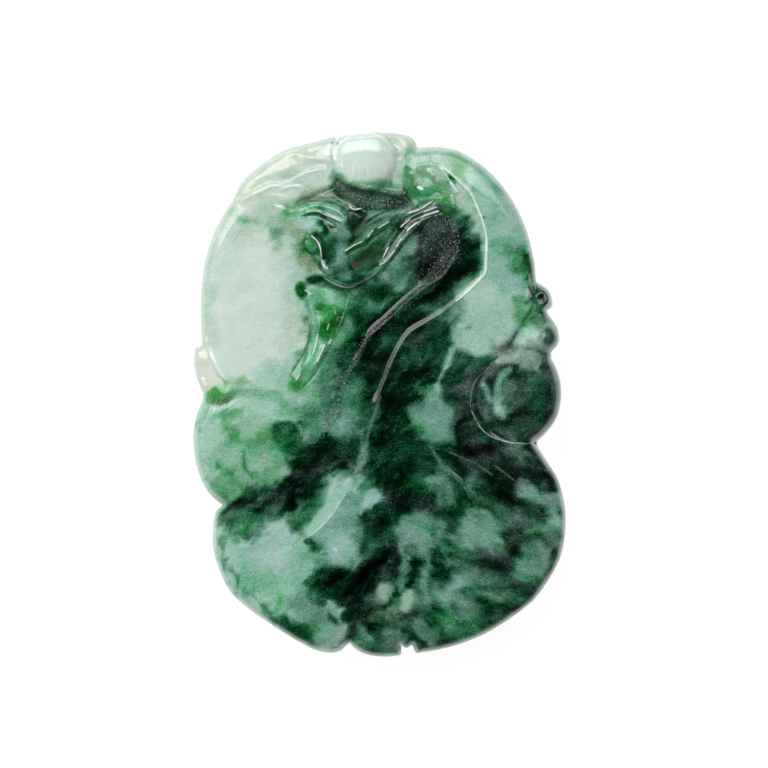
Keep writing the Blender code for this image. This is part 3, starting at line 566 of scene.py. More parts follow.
# minerals as soft stains along paths, painted in this order: colour, half width, strength, then
# the points of the path, in mm
STAINS = [
    # the pale left side
    ("mist", 12.5, 1.0, (-17.5, 17.0), (-17.5, 8.0)),
    ("sea", 7.0, 1.0, (9.0, 27.0), (18.0, 20.0), (17.0, 12.0)),
    ("deep", 4.6, 1.0, (8.6, 19.6), (6.6, 15.0)),
    ("deep", 4.0, 1.0, (-5.0, 20.0), (-1.0, 24.0)),
    ("frost", 9.0, 1.0, (-16.5, 16.5), (-16.5, 8.0)),
    ("frost", 5.0, 1.0, (-13.5, 20.0), (-13.0, 5.0)),
    ("dew", 3.4, 0.9, (-17.0, 23.6), (-12.0, 23.0), (-9.5, 25.5)),
    ("dew", 1.8, 0.8, (-11.2, 21.5), (-10.6, 17.0), (-10.4, 13.0), (-10.6, 7.0)),
    ("dew", 1.0, 0.7, (-21.4, 17.5), (-21.7, 11.0), (-21.0, 6.5)),
    ("mist", 1.0, 0.7, (-12.6, 21.8), (-10.8, 21.0), (-10.1, 18.0), (-9.9, 14.5)),
    ("mist", 1.8, 0.45, (-13.5, 2.6), (-10.6, 4.2)),
    ("moss", 0.5, 0.6, (-13.5, 20.6), (-12.9, 19.7), (-12.2, 18.6)),
    ("moss", 0.35, 0.3, (-18.9, 22.6), (-17.4, 21.9), (-15.2, 21.5)),
    ("leaf", 0.4, 0.25, (-17.4, 21.7), (-16.4, 21.7)),
    ("olive", 0.6, 0.42, (-9.8, 20.8), (-9.5, 18.8), (-8.6, 16.9), (-8.2, 15.6)),
    ("moss", 0.5, 0.4, (-10.0, 9.7), (-9.2, 9.3)),
    ("bronze", 0.22, 1.0, (-9.1, 9.2), (-8.9, 9.1)),
    ("moss", 0.8, 0.4, (-18.2, 1.2), (-16.4, 1.6), (-15.4, 1.0)),
    ("leaf", 0.5, 0.5, (-17.0, 1.9), (-16.0, 1.6)),
    # leaf band, pearl and the leaf behind it
    ("dew", 3.6, 1.0, (-15.0, 26.4), (-10.0, 28.0), (-6.0, 29.6)),
    ("ivory", 2.6, 0.8, (-17.6, 25.6), (-14.5, 28.6), (-9.0, 30.8), (-6.2, 31.4)),
    ("frost", 1.6, 0.6, (-13.0, 25.4), (-9.6, 27.0), (-7.6, 27.6)),
    ("straw", 0.5, 0.3, (-16.8, 25.6), (-15.6, 26.2)),
    ("moss", 0.4, 0.35, (-11.6, 27.4), (-10.2, 27.9)),
    ("moss", 0.3, 0.2, (-15.2, 28.2), (-14.4, 28.4)),
    ("dew", 1.0, 0.7, (-9.6, 26.0), (-6.8, 26.8)),
    ("frost", 4.4, 1.0, (-2.1, 30.4), (-2.0, 29.8)),
    ("snow", 0.5, 1.0, (-5.9, 30.3), (-5.6, 31.0)),
    ("frost", 1.1, 0.9, (1.2, 28.6), (1.9, 26.8)),
    ("dew", 0.9, 0.8, (2.4, 29.4), (2.5, 26.8)),
    ("leaf", 0.5, 0.8, (-1.0, 26.2), (0.6, 26.1)),
    ("ivory", 2.0, 1.0, (1.8, 32.6), (3.8, 31.6)),
    ("olive", 0.25, 0.6, (1.6, 30.0), (2.6, 30.2), (3.3, 30.5)),
    # the arched lobe on the right
    ("sea", 4.4, 1.0, (9.4, 28.2), (14.0, 25.0), (16.8, 20.0), (16.6, 12.0)),
    ("sea", 2.0, 1.0, (5.4, 29.8), (9.4, 28.6)),
    ("mist", 1.4, 0.8, (4.5, 29.7), (8.0, 29.9), (11.0, 28.5)),
    ("mist", 1.6, 0.4, (13.6, 25.6), (16.6, 21.0)),
    ("mist", 1.1, 0.9, (9.2, 27.0), (10.6, 25.2), (11.8, 22.6), (12.4, 20.6)),
    ("leaf", 0.6, 0.5, (9.8, 29.4), (9.9, 28.6), (9.1, 27.8)),
    ("leaf", 0.5, 0.6, (9.9, 27.6), (9.6, 26.4)),
    ("moss", 0.35, 0.3, (11.5, 28.3), (13.4, 26.6), (15.2, 25.3)),
    ("moss", 0.6, 0.2, (14.8, 23.4), (14.2, 21.6)),
    ("mist", 0.8, 0.4, (13.8, 22.6), (14.2, 20.8)),
    ("leaf", 0.1, 0.35, (14.2, 19.1), (14.3, 18.8)),
    ("leaf", 0.1, 0.3, (14.0, 16.6), (14.3, 16.0)),
    ("moss", 1.4, 0.85, (16.4, 17.0), (16.8, 15.6)),
    ("forest", 0.9, 0.9, (16.4, 16.8), (17.6, 15.4)),
    ("moss", 0.9, 0.7, (17.4, 16.8), (18.2, 15.6), (18.8, 13.8)),
    ("bottle", 0.45, 0.7, (18.2, 16.6), (18.5, 15.0)),
    ("mist", 0.8, 0.7, (17.2, 12.6), (17.8, 11.6)),
    ("leaf", 0.4, 0.8, (17.4, 15.0), (16.4, 16.4)),
    ("rain", 3.6, 0.9, (14.6, 12.8), (12.8, 10.4), (13.0, 7.8)),
    ("sea", 2.6, 1.0, (13.6, 11.4), (12.0, 6.8)),
    ("mist", 1.4, 0.8, (10.4, 12.6), (10.0, 10.8), (10.2, 8.0), (10.8, 5.8)),
    ("leaf", 0.3, 0.7, (9.8, 10.2), (9.6, 8.8)),
    ("forest", 0.8, 0.8, (10.0, 4.4), (11.4, 3.6), (12.8, 4.2)),
    ("moss", 0.8, 0.8, (17.4, 11.2), (17.3, 10.0)),
    # the dark hollow inside the arch
    ("moss", 1.1, 0.9, (9.6, 24.4), (9.8, 22.8)),
    ("forest", 0.7, 0.7, (8.6, 23.2), (10.2, 21.8)),
    ("deep", 1.2, 1.0, (10.5, 20.6), (10.9, 18.6), (11.0, 16.2)),
    ("ink", 0.6, 0.6, (10.6, 19.0), (10.6, 17.4), (9.8, 15.8)),
    ("forest", 0.7, 0.6, (11.8, 15.2), (12.0, 17.4)),
    ("dull sea", 0.6, 0.6, (11.4, 20.8), (11.6, 19.2)),
    ("moss", 0.7, 0.6, (11.6, 14.2), (10.0, 13.4), (8.0, 12.0)),
    ("bottle", 0.5, 0.6, (-6.0, 20.8), (-6.3, 18.8)),
    # the curl
    ("moss", 2.9, 1.0, (5.2, 26.6), (5.8, 25.6)),
    ("moss", 1.6, 0.8, (5.0, 25.8), (5.6, 25.2)),
    ("leaf", 0.5, 0.8, (3.4, 27.6), (3.3, 26.2), (3.9, 24.8), (5.2, 24.2)),
    ("straw", 0.25, 0.8, (3.9, 26.6), (4.5, 27.9), (5.4, 28.4), (7.0, 28.3)),
    ("straw", 0.3, 0.7, (6.0, 28.0), (6.8, 27.0), (7.7, 25.6)),
    ("dew", 0.8, 0.8, (8.0, 27.6), (8.8, 26.0)),
    ("dew", 0.7, 0.8, (4.4, 28.8), (5.8, 29.0), (7.0, 28.4), (7.4, 27.4)),
    ("moss", 0.9, 0.9, (8.4, 25.4), (8.2, 23.8)),
    ("apple", 0.8, 0.8, (5.0, 25.7), (6.0, 25.4)),
    ("bronze", 0.12, 1.0, (6.6, 26.9), (6.7, 26.8)),
    # the head, from the bright spot to the recess under the pearl
    ("deep", 2.4, 1.0, (-5.6, 19.6), (-4.0, 17.0), (-3.0, 21.0)),
    ("forest", 1.8, 0.9, (-3.8, 25.0), (-1.5, 24.6), (2.0, 24.4)),
    ("ink", 1.2, 0.7, (-2.8, 25.2), (0.6, 24.4), (2.4, 24.0)),
    ("olive", 0.7, 0.7, (-9.2, 24.3), (-7.4, 24.6), (-5.6, 24.2), (-4.2, 23.4)),
    ("sea", 0.95, 0.9, (-10.0, 23.0), (-7.8, 23.4), (-6.0, 22.8), (-5.0, 21.6), (-4.6, 20.0)),
    ("mist", 0.8, 0.9, (-10.6, 21.9), (-9.0, 22.2), (-8.0, 21.6), (-7.8, 20.8)),
    ("leaf", 0.5, 0.8, (-11.3, 22.9), (-10.6, 23.1)),
    ("emerald", 0.22, 0.9, (-9.6, 22.9), (-8.4, 23.0), (-7.0, 22.9)),
    ("mist", 0.5, 0.75, (-9.8, 21.5), (-8.4, 21.4), (-7.7, 20.7)),
    ("emerald", 0.3, 0.9, (-7.4, 21.5), (-6.9, 21.0)),
    ("leaf", 0.6, 0.8, (-8.8, 18.9), (-8.5, 18.2)),
    ("olive", 0.5, 0.2, (-12.0, 21.4), (-10.4, 20.2)),
    ("ash", 0.35, 0.45, (-12.8, 20.0), (-12.4, 19.6)),
    ("olive", 0.5, 0.3, (-10.4, 18.2), (-9.6, 16.4)),
    ("dull sea", 1.0, 0.85, (-5.6, 20.2), (-4.9, 18.2), (-4.8, 16.4), (-3.8, 14.6)),
    ("emerald", 1.6, 0.85, (-2.4, 17.6), (-1.2, 18.4), (0.4, 19.0)),
    ("olive", 0.5, 0.7, (-2.6, 20.6), (-1.2, 21.9), (0.6, 23.2), (2.6, 24.2)),
    ("bronze", 0.8, 0.3, (-2.8, 21.9), (-1.8, 20.6)),
    ("ash", 0.8, 0.6, (1.2, 18.8), (2.8, 20.6), (4.6, 21.8), (6.6, 23.2)),
    ("dull sea", 0.6, 0.85, (-0.8, 22.2), (1.4, 22.5), (3.0, 23.1), (4.8, 23.9)),
    ("mist", 0.25, 0.6, (-1.6, 19.5), (-0.6, 20.6), (1.2, 21.6)),
    # the sunk ground, the rough oval and the stem
    ("dull sea", 2.0, 1.0, (0.2, 14.8), (2.2, 15.4), (3.4, 17.4), (3.8, 18.6)),
    ("ink", 1.9, 0.95, (7.2, 20.4), (7.2, 18.0), (6.0, 15.6)),
    ("lilac", 0.35, 0.6, (8.8, 20.8), (9.4, 19.0), (8.6, 16.6), (7.0, 14.8), (4.4, 12.6)),
    ("deep", 0.7, 0.4, (4.4, 15.2), (5.4, 14.2)),
    ("forest", 2.0, 0.8, (-1.4, 12.2), (-3.0, 9.4)),
    ("moss", 1.6, 0.8, (-3.8, 8.6), (-5.2, 5.6), (-6.4, 3.4)),
    ("dull sea", 1.2, 0.6, (-3.0, 11.4), (-4.2, 8.4)),
    ("dull sea", 2.6, 1.0, (-7.4, 2.2), (-8.6, -1.0), (-8.0, -2.8)),
    ("forest", 1.6, 0.4, (-7.0, 1.2), (-7.8, -1.4)),
    ("moss", 0.9, 0.6, (-8.6, 0.4), (-8.0, -1.6)),
    ("mist", 2.0, 0.9, (-12.0, 2.2), (-10.6, 0.2)),
    ("dull sea", 0.9, 0.7, (-8.9, -4.6), (-8.3, -5.2)),
    ("deep", 1.0, 0.9, (-1.8, 9.2), (-2.2, 6.8), (-3.4, 4.6)),
    ("ink", 1.2, 0.6, (7.6, 13.0), (4.0, 10.2), (-0.2, 5.4), (-0.8, 3.0)),
    ("olive", 0.9, 0.5, (7.4, 11.6), (5.6, 10.6)),
    ("lilac", 0.6, 0.45, (4.6, 9.8), (3.0, 8.8)),
    ("moss", 0.6, 0.7, (1.9, 8.8), (0.8, 6.6), (-0.2, 5.2)),
    ("mist", 0.35, 0.7, (0.7, 6.5), (1.0, 6.1)),
    ("sea", 1.2, 0.8, (-3.7, 0.8), (-4.1, -2.0), (-4.6, -3.8)),
    ("sea", 0.7, 0.8, (-5.2, -4.7), (-3.6, -4.5)),
    ("leaf", 0.6, 0.6, (-2.0, 0.2), (-2.4, -1.8)),
    ("olive", 0.6, 0.5, (-1.6, -2.6), (-1.6, -4.4)),
    ("forest", 1.3, 0.35, (-4.2, 7.4), (-5.4, 4.2)),
    # the tassel
    ("moss", 1.9, 1.0, (-7.2, 12.4), (-6.6, 10.4), (-7.0, 8.0)),
    ("emerald", 0.7, 0.9, (-4.5, 12.6), (-4.8, 10.8), (-5.5, 8.6)),
    ("emerald", 1.0, 0.85, (-7.4, 11.2), (-6.8, 9.4), (-6.6, 7.8)),
    ("sea", 0.5, 0.8, (-9.0, 11.6), (-8.2, 9.8), (-8.1, 7.6)),
    ("mist", 0.5, 0.7, (-6.6, 12.6), (-5.8, 11.6)),
    ("apple", 1.0, 0.95, (-7.4, 6.4), (-8.1, 4.2), (-9.2, 2.6)),
    ("sea", 0.5, 0.7, (-7.2, 6.4), (-8.2, 4.2)),
    ("leaf", 0.8, 0.9, (-10.6, 1.8), (-9.8, 1.0)),
    # the dark neck to the right of the ridge
    ("deep", 3.4, 1.0, (6.2, 9.0), (4.4, 5.0), (4.4, 1.0), (1.0, -3.0)),
    ("ink", 1.0, 0.5, (6.0, 8.6), (4.4, 6.4), (6.4, 3.6)),
    ("forest", 0.8, 0.5, (7.6, 7.4), (3.6, 3.6)),
    ("dull sea", 0.22, 0.6, (4.6, 4.0), (5.5, 4.8), (6.1, 6.0)),
    ("deep", 1.9, 1.0, (9.6, 2.4), (9.4, 0.6), (10.4, -0.6)),
    ("dull sea", 2.0, 1.0, (5.8, -2.2), (7.6, -2.6)),
    ("dull sea", 1.7, 1.0, (6.6, -5.0), (8.2, -4.2)),
    ("sea", 1.3, 0.4, (5.6, -2.0), (7.0, -3.0)),
    ("sea", 0.5, 0.9, (7.0, 0.6), (7.0, -1.2)),
    ("moss", 0.6, 0.7, (4.8, 0.5), (5.8, 0.4)),
    ("leaf", 0.4, 0.7, (4.2, -4.0), (5.2, -4.1)),
    ("deep", 0.9, 0.95, (7.2, -7.2), (8.2, -7.4)),
    ("ash", 0.35, 0.8, (8.6, -7.1), (12.0, -8.6), (14.0, -10.0)),
    ("ash", 0.2, 0.7, (6.3, -6.6), (7.6, -8.6), (9.2, -10.2), (11.0, -11.6)),
    ("deep", 0.9, 0.9, (10.0, -5.0), (10.4, -7.2)),
    # beside the disc
    ("slate", 1.8, 0.95, (11.4, 1.4), (11.0, -1.6), (11.6, -4.4), (12.6, -7.4)),
    ("lilac", 0.9, 0.5, (11.4, 1.6), (10.8, -1.0), (12.0, -4.4)),
    ("slate", 2.6, 0.95, (14.4, -8.0), (18.4, -8.4), (20.0, -10.2)),
    ("ink", 0.6, 0.9, (11.4, -7.0), (14.4, -6.9)),
    ("ash", 0.9, 0.6, (16.8, -6.8), (18.4, -8.2)),
    ("ink", 0.8, 0.3, (17.4, -9.8), (19.6, -10.8)),
    ("forest", 0.7, 0.5, (13.0, -5.4), (12.0, -3.6)),
    ("ink", 0.45, 0.9, (13.4, 3.6), (12.4, 1.8), (12.0, 0.2), (12.1, -1.6), (12.8, -3.0)),
    # the ball on the left
    ("mist", 7.6, 1.0, (-16.6, -6.6), (-16.8, -7.6)),
    ("moss", 5.4, 0.45, (-15.6, -8.0), (-16.2, -9.0)),
    ("leaf", 0.9, 0.85, (-21.4, 0.0), (-19.8, 0.2)),
    ("olive", 0.3, 0.9, (-21.2, -0.6), (-19.8, -0.6), (-18.6, -0.3)),
    ("ivory", 1.5, 1.0, (-23.0, 5.4), (-22.4, 2.4), (-21.6, 1.2)),
    ("moss", 0.6, 0.7, (-18.6, 0.1), (-16.4, 0.5), (-13.6, -0.2), (-11.6, -1.8)),
    ("mist", 1.0, 0.7, (-16.4, -1.8), (-13.6, -2.0), (-12.4, -2.6)),
    ("leaf", 0.4, 0.5, (-19.6, -2.9), (-17.8, -2.3)),
    ("leaf", 0.6, 0.5, (-19.0, -4.0), (-17.8, -5.2)),
    ("emerald", 0.22, 0.7, (-20.2, -8.4), (-19.2, -9.8), (-17.8, -11.2), (-16.4, -12.0)),
    ("emerald", 0.22, 0.7, (-17.4, -7.4), (-16.6, -8.8), (-15.4, -9.6)),
    ("moss", 1.4, 0.4, (-15.4, -5.8), (-13.6, -5.2)),
    ("forest", 1.0, 0.5, (-12.0, -5.4), (-11.2, -6.4)),
    ("moss", 1.5, 0.6, (-19.6, -11.4), (-16.0, -11.2), (-13.2, -10.2), (-12.0, -8.8)),
    ("leaf", 0.6, 0.35, (-20.0, -12.0), (-16.6, -11.9)),
    ("moss", 0.7, 0.5, (-21.2, -1.8), (-19.8, -2.2)),
    ("moss", 0.8, 0.6, (-11.0, -1.6), (-9.4, -2.6)),
    ("mist", 0.6, 0.55, (-15.6, -8.5), (-14.8, -8.8)),
    ("moss", 0.5, 0.6, (-12.8, -8.0), (-11.6, -8.8)),
    ("mist", 0.4, 0.6, (-11.6, -9.6), (-10.9, -9.0)),
    # the dark band below the ball and across the neck
    ("deep", 2.1, 1.0, (-8.4, -7.8), (-4.4, -7.4)),
    ("deep", 1.5, 1.0, (-8.8, -11.4), (-12.4, -12.8), (-15.6, -13.2), (-17.8, -14.6)),
    ("ink", 0.9, 0.8, (-4.6, -8.0), (-8.8, -9.6), (-10.6, -12.4), (-14.0, -12.9)),
    ("deep", 2.6, 1.0, (0.4, -6.6), (3.4, -8.0), (4.4, -12.0), (1.6, -14.4)),
    ("emerald", 0.9, 0.6, (4.4, -10.8), (5.6, -11.0)),
    ("ink", 0.8, 0.75, (2.0, -12.6), (6.2, -13.6), (9.0, -14.8)),
    ("sage", 0.4, 0.8, (-2.2, -4.8), (-2.0, -6.6), (-2.7, -8.6), (-3.4, -10.0)),
    ("moss", 0.7, 0.6, (-16.8, -12.5), (-15.0, -11.9)),
    ("bottle", 0.5, 0.7, (-10.8, -6.2), (-9.6, -7.0)),
    ("forest", 1.0, 0.4, (-8.8, -2.4), (-8.0, -4.4)),
    # the lower left of the body
    ("mist", 5.2, 1.0, (-14.0, -19.4), (-14.6, -21.4), (-11.0, -25.4)),
    ("mist", 1.3, 1.0, (-20.3, -15.6), (-20.3, -18.6), (-19.2, -21.8), (-17.6, -24.4),
     (-15.2, -26.4), (-12.8, -27.8)),
    ("rain", 2.8, 0.9, (-12.2, -17.4), (-14.2, -20.8)),
    ("dew", 1.6, 0.3, (-13.0, -18.0), (-14.2, -20.8)),
    ("frost", 1.6, 0.2, (-12.4, -17.0), (-13.2, -20.0)),
    ("apple", 1.6, 0.4, (-16.0, -23.2), (-13.4, -24.2), (-12.6, -25.2)),
    ("leaf", 0.12, 0.6, (-12.8, -25.0), (-12.6, -25.6)),
    ("deep", 1.4, 1.0, (-18.4, -14.6), (-16.6, -16.2)),
    ("deep", 0.7, 1.0, (-15.2, -14.6), (-14.2, -14.2)),
    ("emerald", 0.7, 0.8, (-17.2, -16.4), (-16.0, -16.0)),
    ("moss", 0.8, 0.7, (-19.4, -14.8), (-19.0, -16.2)),
    ("forest", 0.15, 0.5, (-19.6, -17.6), (-19.5, -20.6), (-18.0, -23.4)),
    ("forest", 0.15, 0.5, (-16.8, -24.6), (-13.6, -27.4)),
    ("moss", 1.1, 0.9, (-9.8, -14.8), (-8.8, -16.6)),
    ("forest", 0.5, 0.6, (-8.6, -13.6), (-9.6, -15.2), (-10.6, -15.4)),
    ("olive", 0.3, 0.8, (-10.9, -14.6), (-10.0, -16.4), (-9.2, -17.8)),
    ("mist", 1.7, 1.0, (-5.0, -11.6), (-6.0, -14.2), (-8.0, -16.8)),
    ("rain", 2.5, 1.0, (-2.6, -12.6), (-4.0, -15.4), (-4.6, -18.0)),
    ("rain", 1.4, 0.9, (-3.6, -12.0), (-1.4, -12.8)),
    ("forest", 0.6, 0.75, (-7.4, -12.6), (-8.8, -14.4), (-10.4, -16.2)),
    ("mist", 1.5, 0.9, (-4.8, -19.2), (-4.0, -20.0)),
    ("sea", 1.3, 0.8, (-9.6, -18.8), (-9.5, -22.6), (-10.0, -25.6)),
    ("moss", 0.6, 0.5, (-8.2, -19.4), (-7.2, -20.0)),
    ("forest", 0.35, 0.8, (-8.4, -25.2), (-7.4, -26.6), (-6.4, -27.3)),
    ("deep", 0.45, 1.0, (-8.8, -18.1), (-8.4, -18.5)),
    ("deep", 0.45, 0.8, (-7.3, -20.9), (-7.0, -21.6)),
    ("sea", 0.9, 0.6, (-8.6, -19.4), (-7.8, -20.4)),
    ("deep", 0.7, 0.8, (-8.0, -25.4), (-7.2, -26.4), (-6.0, -26.5)),
    # the dark middle of the body
    ("deep", 1.7, 1.0, (-0.6, -16.4), (-1.0, -20.6)),
    ("deep", 2.0, 1.0, (-2.8, -23.2), (-6.0, -23.9)),
    ("ink", 1.5, 0.55, (-1.0, -21.6), (-2.4, -24.8), (-3.2, -28.0), (-3.4, -30.4)),
    ("ink", 1.0, 0.5, (1.2, -18.8), (1.0, -22.4)),
    # the lower left toe
    ("dull sea", 2.2, 1.0, (-9.0, -27.2), (-6.4, -28.6), (-6.2, -30.0)),
    ("mist", 1.0, 0.5, (-5.8, -28.8), (-5.6, -30.6)),
    # painted highlight: a pale line along the bottom edge of the toe
    ("frost", 0.5, 0.6, (-7.2, -31.3), (-5.2, -31.5)),
    ("mist", 0.7, 0.8, (-6.0, -26.2), (-5.2, -27.0)),
    ("leaf", 0.45, 0.6, (-7.9, -28.5), (-7.0, -28.8)),
    ("forest", 0.9, 0.95, (-12.6, -28.2), (-10.8, -29.2), (-8.8, -30.8)),
    ("deep", 0.3, 0.6, (-12.8, -28.6), (-10.4, -30.0)),
    # the middle toe
    ("forest", 1.8, 1.0, (-1.6, -31.0), (1.8, -32.0)),
    ("ash", 1.6, 0.8, (1.0, -29.4), (2.2, -30.8)),
    ("dull sea", 0.8, 0.8, (-2.0, -29.2), (-1.2, -30.2)),
    ("olive", 0.6, 0.7, (-0.4, -27.0), (3.0, -27.6)),
    ("leaf", 0.5, 0.5, (0.2, -32.6), (1.6, -32.8)),
    # the lower right, under the clouds
    ("forest", 5.6, 0.75, (10.6, -22.0), (15.0, -20.0), (10.6, -27.0)),
    ("ash", 2.6, 0.7, (10.4, -21.6), (13.2, -22.6)),
    ("dull sea", 2.0, 0.8, (9.4, -23.8), (9.8, -25.2)),
    ("rain", 1.0, 0.7, (8.6, -24.4), (9.8, -24.0)),
    ("dull sea", 1.3, 0.8, (11.6, -26.4), (11.8, -27.2)),
    ("slate", 1.2, 0.9, (13.0, -20.8), (15.8, -21.0)),
    ("ink", 0.5, 0.8, (14.6, -21.4), (16.0, -21.6)),
    ("ash", 1.0, 0.5, (14.4, -24.0), (17.0, -23.8)),
    ("moss", 0.8, 0.4, (13.4, -25.6), (15.6, -25.4)),
    ("bronze", 0.7, 0.35, (14.6, -26.6), (17.4, -25.0)),
    ("leaf", 0.6, 0.6, (15.2, -18.8), (15.9, -18.4)),
    ("leaf", 0.8, 0.55, (7.4, -28.2), (9.0, -28.4)),
    ("ash", 1.0, 0.7, (5.2, -26.0), (5.4, -28.2)),
    ("forest", 1.1, 0.85, (12.4, -28.8), (15.0, -27.4), (18.0, -25.6)),
    ("slate", 0.5, 0.6, (13.6, -28.2), (17.4, -26.2)),
    ("forest", 0.6, 0.8, (6.6, -30.8), (10.8, -30.2)),
    ("dull sea", 0.8, 0.9, (5.0, -29.8), (6.2, -30.6)),
    ("ink", 0.5, 0.8, (4.2, -26.8), (4.3, -30.2)),
    # flutes
    ("dull sea", 0.9, 1.0, (2.9, -18.8), (3.0, -23.6)),
    ("dull sea", 1.0, 1.0, (5.6, -19.0), (5.6, -25.2)),
    ("deep", 0.55, 1.0, (4.3, -20.4), (4.2, -24.0)),
    ("deep", 1.2, 1.0, (7.4, -21.0), (7.4, -23.0)),
    ("ink", 0.5, 0.7, (1.9, -18.6), (1.8, -21.6)),
    ("straw", 0.8, 0.7, (0.5, -24.0), (0.4, -25.2)),
    ("straw", 0.6, 0.7, (3.5, -24.6), (3.2, -26.2)),
    ("ash", 0.7, 0.8, (-0.9, -25.6), (-0.6, -26.4)),
    # pale clouds of the body
    ("dull sea", 2.0, 0.9, (4.2, -17.0), (5.8, -17.8)),
    ("rain", 1.5, 0.8, (4.2, -16.2), (5.4, -17.2)),
    ("apple", 0.5, 0.7, (6.6, -16.8), (6.5, -18.8)),
    ("dull sea", 1.9, 0.9, (11.0, -17.0), (13.2, -16.8)),
    ("rain", 1.5, 0.5, (11.4, -16.4), (12.6, -16.8)),
    ("sea", 0.6, 0.8, (11.4, -14.6), (11.5, -15.6)),
    ("deep", 0.5, 0.9, (8.6, -15.6), (8.7, -17.0)),
    ("forest", 0.5, 0.8, (8.5, -18.2), (8.8, -19.8)),
    ("dull sea", 1.3, 0.95, (7.3, -10.8), (8.0, -11.7), (8.8, -12.5)),
    ("ash", 0.9, 0.6, (8.6, -12.8), (9.2, -13.6)),
    ("dull sea", 0.5, 0.5, (10.2, -12.8), (11.0, -10.4)),
    ("moss", 0.4, 0.4, (11.6, -12.2), (12.2, -13.6)),
    ("olive", 0.9, 0.5, (13.4, -12.4), (14.0, -13.8)),
    ("deep", 0.7, 0.9, (8.8, -14.2), (9.6, -15.4)),
    # the right flank
    ("slate", 1.0, 0.95, (15.4, -11.2), (16.6, -13.6), (16.9, -16.6), (16.6, -19.6)),
    ("deep", 0.7, 0.7, (14.6, -10.4), (15.8, -13.6)),
    ("rain", 1.0, 0.85, (17.8, -12.2), (19.6, -12.8), (22.2, -13.2)),
    ("dull sea", 1.2, 0.9, (21.8, -14.6), (22.0, -16.8)),
    ("sea", 0.8, 0.8, (18.8, -16.8), (21.0, -16.6), (22.2, -15.6)),
    ("slate", 1.0, 0.95, (18.4, -15.0), (20.0, -14.9)),
    ("leaf", 0.35, 0.8, (18.4, -17.6), (20.0, -17.6)),
    ("slate", 0.6, 0.9, (18.0, -18.5), (20.4, -18.5), (22.2, -18.5)),
    ("dull sea", 0.6, 0.8, (17.8, -19.4), (20.2, -19.6)),
    ("forest", 0.5, 0.8, (19.2, -20.0), (21.4, -20.6)),
    ("dull sea", 1.6, 0.95, (18.0, -21.8), (20.0, -21.8)),
    ("moss", 0.9, 0.4, (17.6, -22.8), (20.4, -22.4)),
    ("slate", 0.4, 0.7, (16.4, -23.8), (19.2, -24.0)),
    # the scrolls
    ("deep", 1.3, 0.95, (20.4, 12.4), (21.2, 11.0)),
    ("leaf", 0.5, 0.8, (20.2, 11.9), (20.4, 12.2)),
    ("mist", 0.9, 0.8, (16.8, 6.5), (18.9, 7.0)),
    ("leaf", 0.5, 0.7, (17.8, 8.6), (18.6, 10.0)),
    ("dull sea", 1.5, 0.9, (20.8, 8.0), (21.2, 6.4)),
    ("mist", 0.5, 0.7, (20.2, 8.2), (21.4, 9.1)),
    ("forest", 0.5, 0.8, (21.0, 7.2), (21.4, 6.6)),
    ("sage", 0.8, 0.6, (16.0, 6.0), (18.4, 5.9)),
    # the disc
    ("slate", 5.6, 1.0, (17.4, -0.2), (17.6, -0.4)),
    ("forest", 1.6, 0.35, (16.8, 2.2), (18.8, 0.4)),
    ("forest", 1.2, 0.35, (19.8, 0.8), (20.4, -2.0)),
    ("olive", 0.8, 0.3, (16.6, 1.0), (16.8, -0.6)),
    # painted reflection: the pale cap along the top of the disc stands for the soft boxes mirrored
    # there
    ("sage", 0.8, 0.9, (14.6, 4.3), (16.0, 4.7), (17.8, 4.8), (19.4, 4.4)),
    ("dew", 0.3, 0.25, (15.6, 4.9), (19.0, 4.8)),
    ("moss", 0.4, 0.7, (17.8, 3.3), (18.9, 2.9)),
    ("dull sea", 0.4, 0.7, (15.9, 3.0), (15.1, 2.2), (14.7, 0.8), (14.7, -0.8), (15.2, -2.4)),
    ("mist", 0.35, 0.7, (14.9, -1.4), (15.4, -2.6)),
    ("mist", 0.4, 0.5, (13.0, 0.8), (13.6, -0.4)),
    ("ash", 0.35, 0.8, (12.9, -2.4), (13.8, -3.9), (15.2, -4.9), (17.0, -5.5)),
    ("ash", 0.22, 0.7, (18.2, -2.8), (19.2, -3.3), (20.2, -4.1)),
    ("ash", 0.3, 0.6, (21.2, 3.2), (22.0, 0.8), (22.0, -1.8)),
    ("forest", 0.8, 0.5, (16.2, -3.4), (17.6, -4.6)),
    # lighter and darker touches all over the body
    ("dull sea", 0.8, 0.6, (-1.6, -3.2), (-2.4, -4.8)),
    ("ash", 0.8, 0.6, (-3.4, -5.6), (-4.6, -5.8)),
    ("dull sea", 0.9, 0.85, (-3.6, -9.4), (-4.4, -10.4)),
    ("forest", 0.7, 0.6, (-1.6, -9.0), (-1.4, -10.6)),
    ("sage", 0.3, 0.5, (0.5, 0.6), (-0.4, -1.8), (-1.4, -4.4)),
    ("dull sea", 0.8, 0.7, (1.2, -22.8), (2.2, -26.0)),
    ("ash", 0.8, 0.5, (-2.4, -27.2), (-1.8, -28.6)),
    ("dull sea", 0.9, 0.5, (1.4, -29.4), (2.2, -30.6)),
    ("dull sea", 0.8, 0.7, (4.4, -23.8), (4.4, -25.6)),
    ("dull sea", 0.9, 0.6, (7.6, -24.0), (8.4, -25.0)),
    ("dull sea", 0.8, 0.7, (7.6, -16.8), (8.6, -20.4)),
    ("ash", 1.1, 0.75, (3.2, -27.2), (4.8, -29.0)),
    ("dull sea", 1.0, 0.75, (5.2, -29.2), (6.8, -30.4)),
    ("ash", 0.9, 0.6, (9.2, 4.6), (10.8, 3.6)),
    ("ash", 1.0, 0.5, (11.4, -11.4), (12.6, -12.6)),
    ("ash", 0.9, 0.45, (1.4, 6.4), (2.8, 5.4)),
    ("moss", 0.7, 0.6, (-2.4, 8.6), (-1.6, 7.4)),
    ("moss", 0.7, 0.4, (-0.6, 6.6), (0.4, 5.6)),
    ("moss", 1.1, 0.45, (9.6, -13.4), (10.6, -14.4)),
    ("ash", 1.0, 0.75, (17.6, -13.6), (19.4, -14.4)),
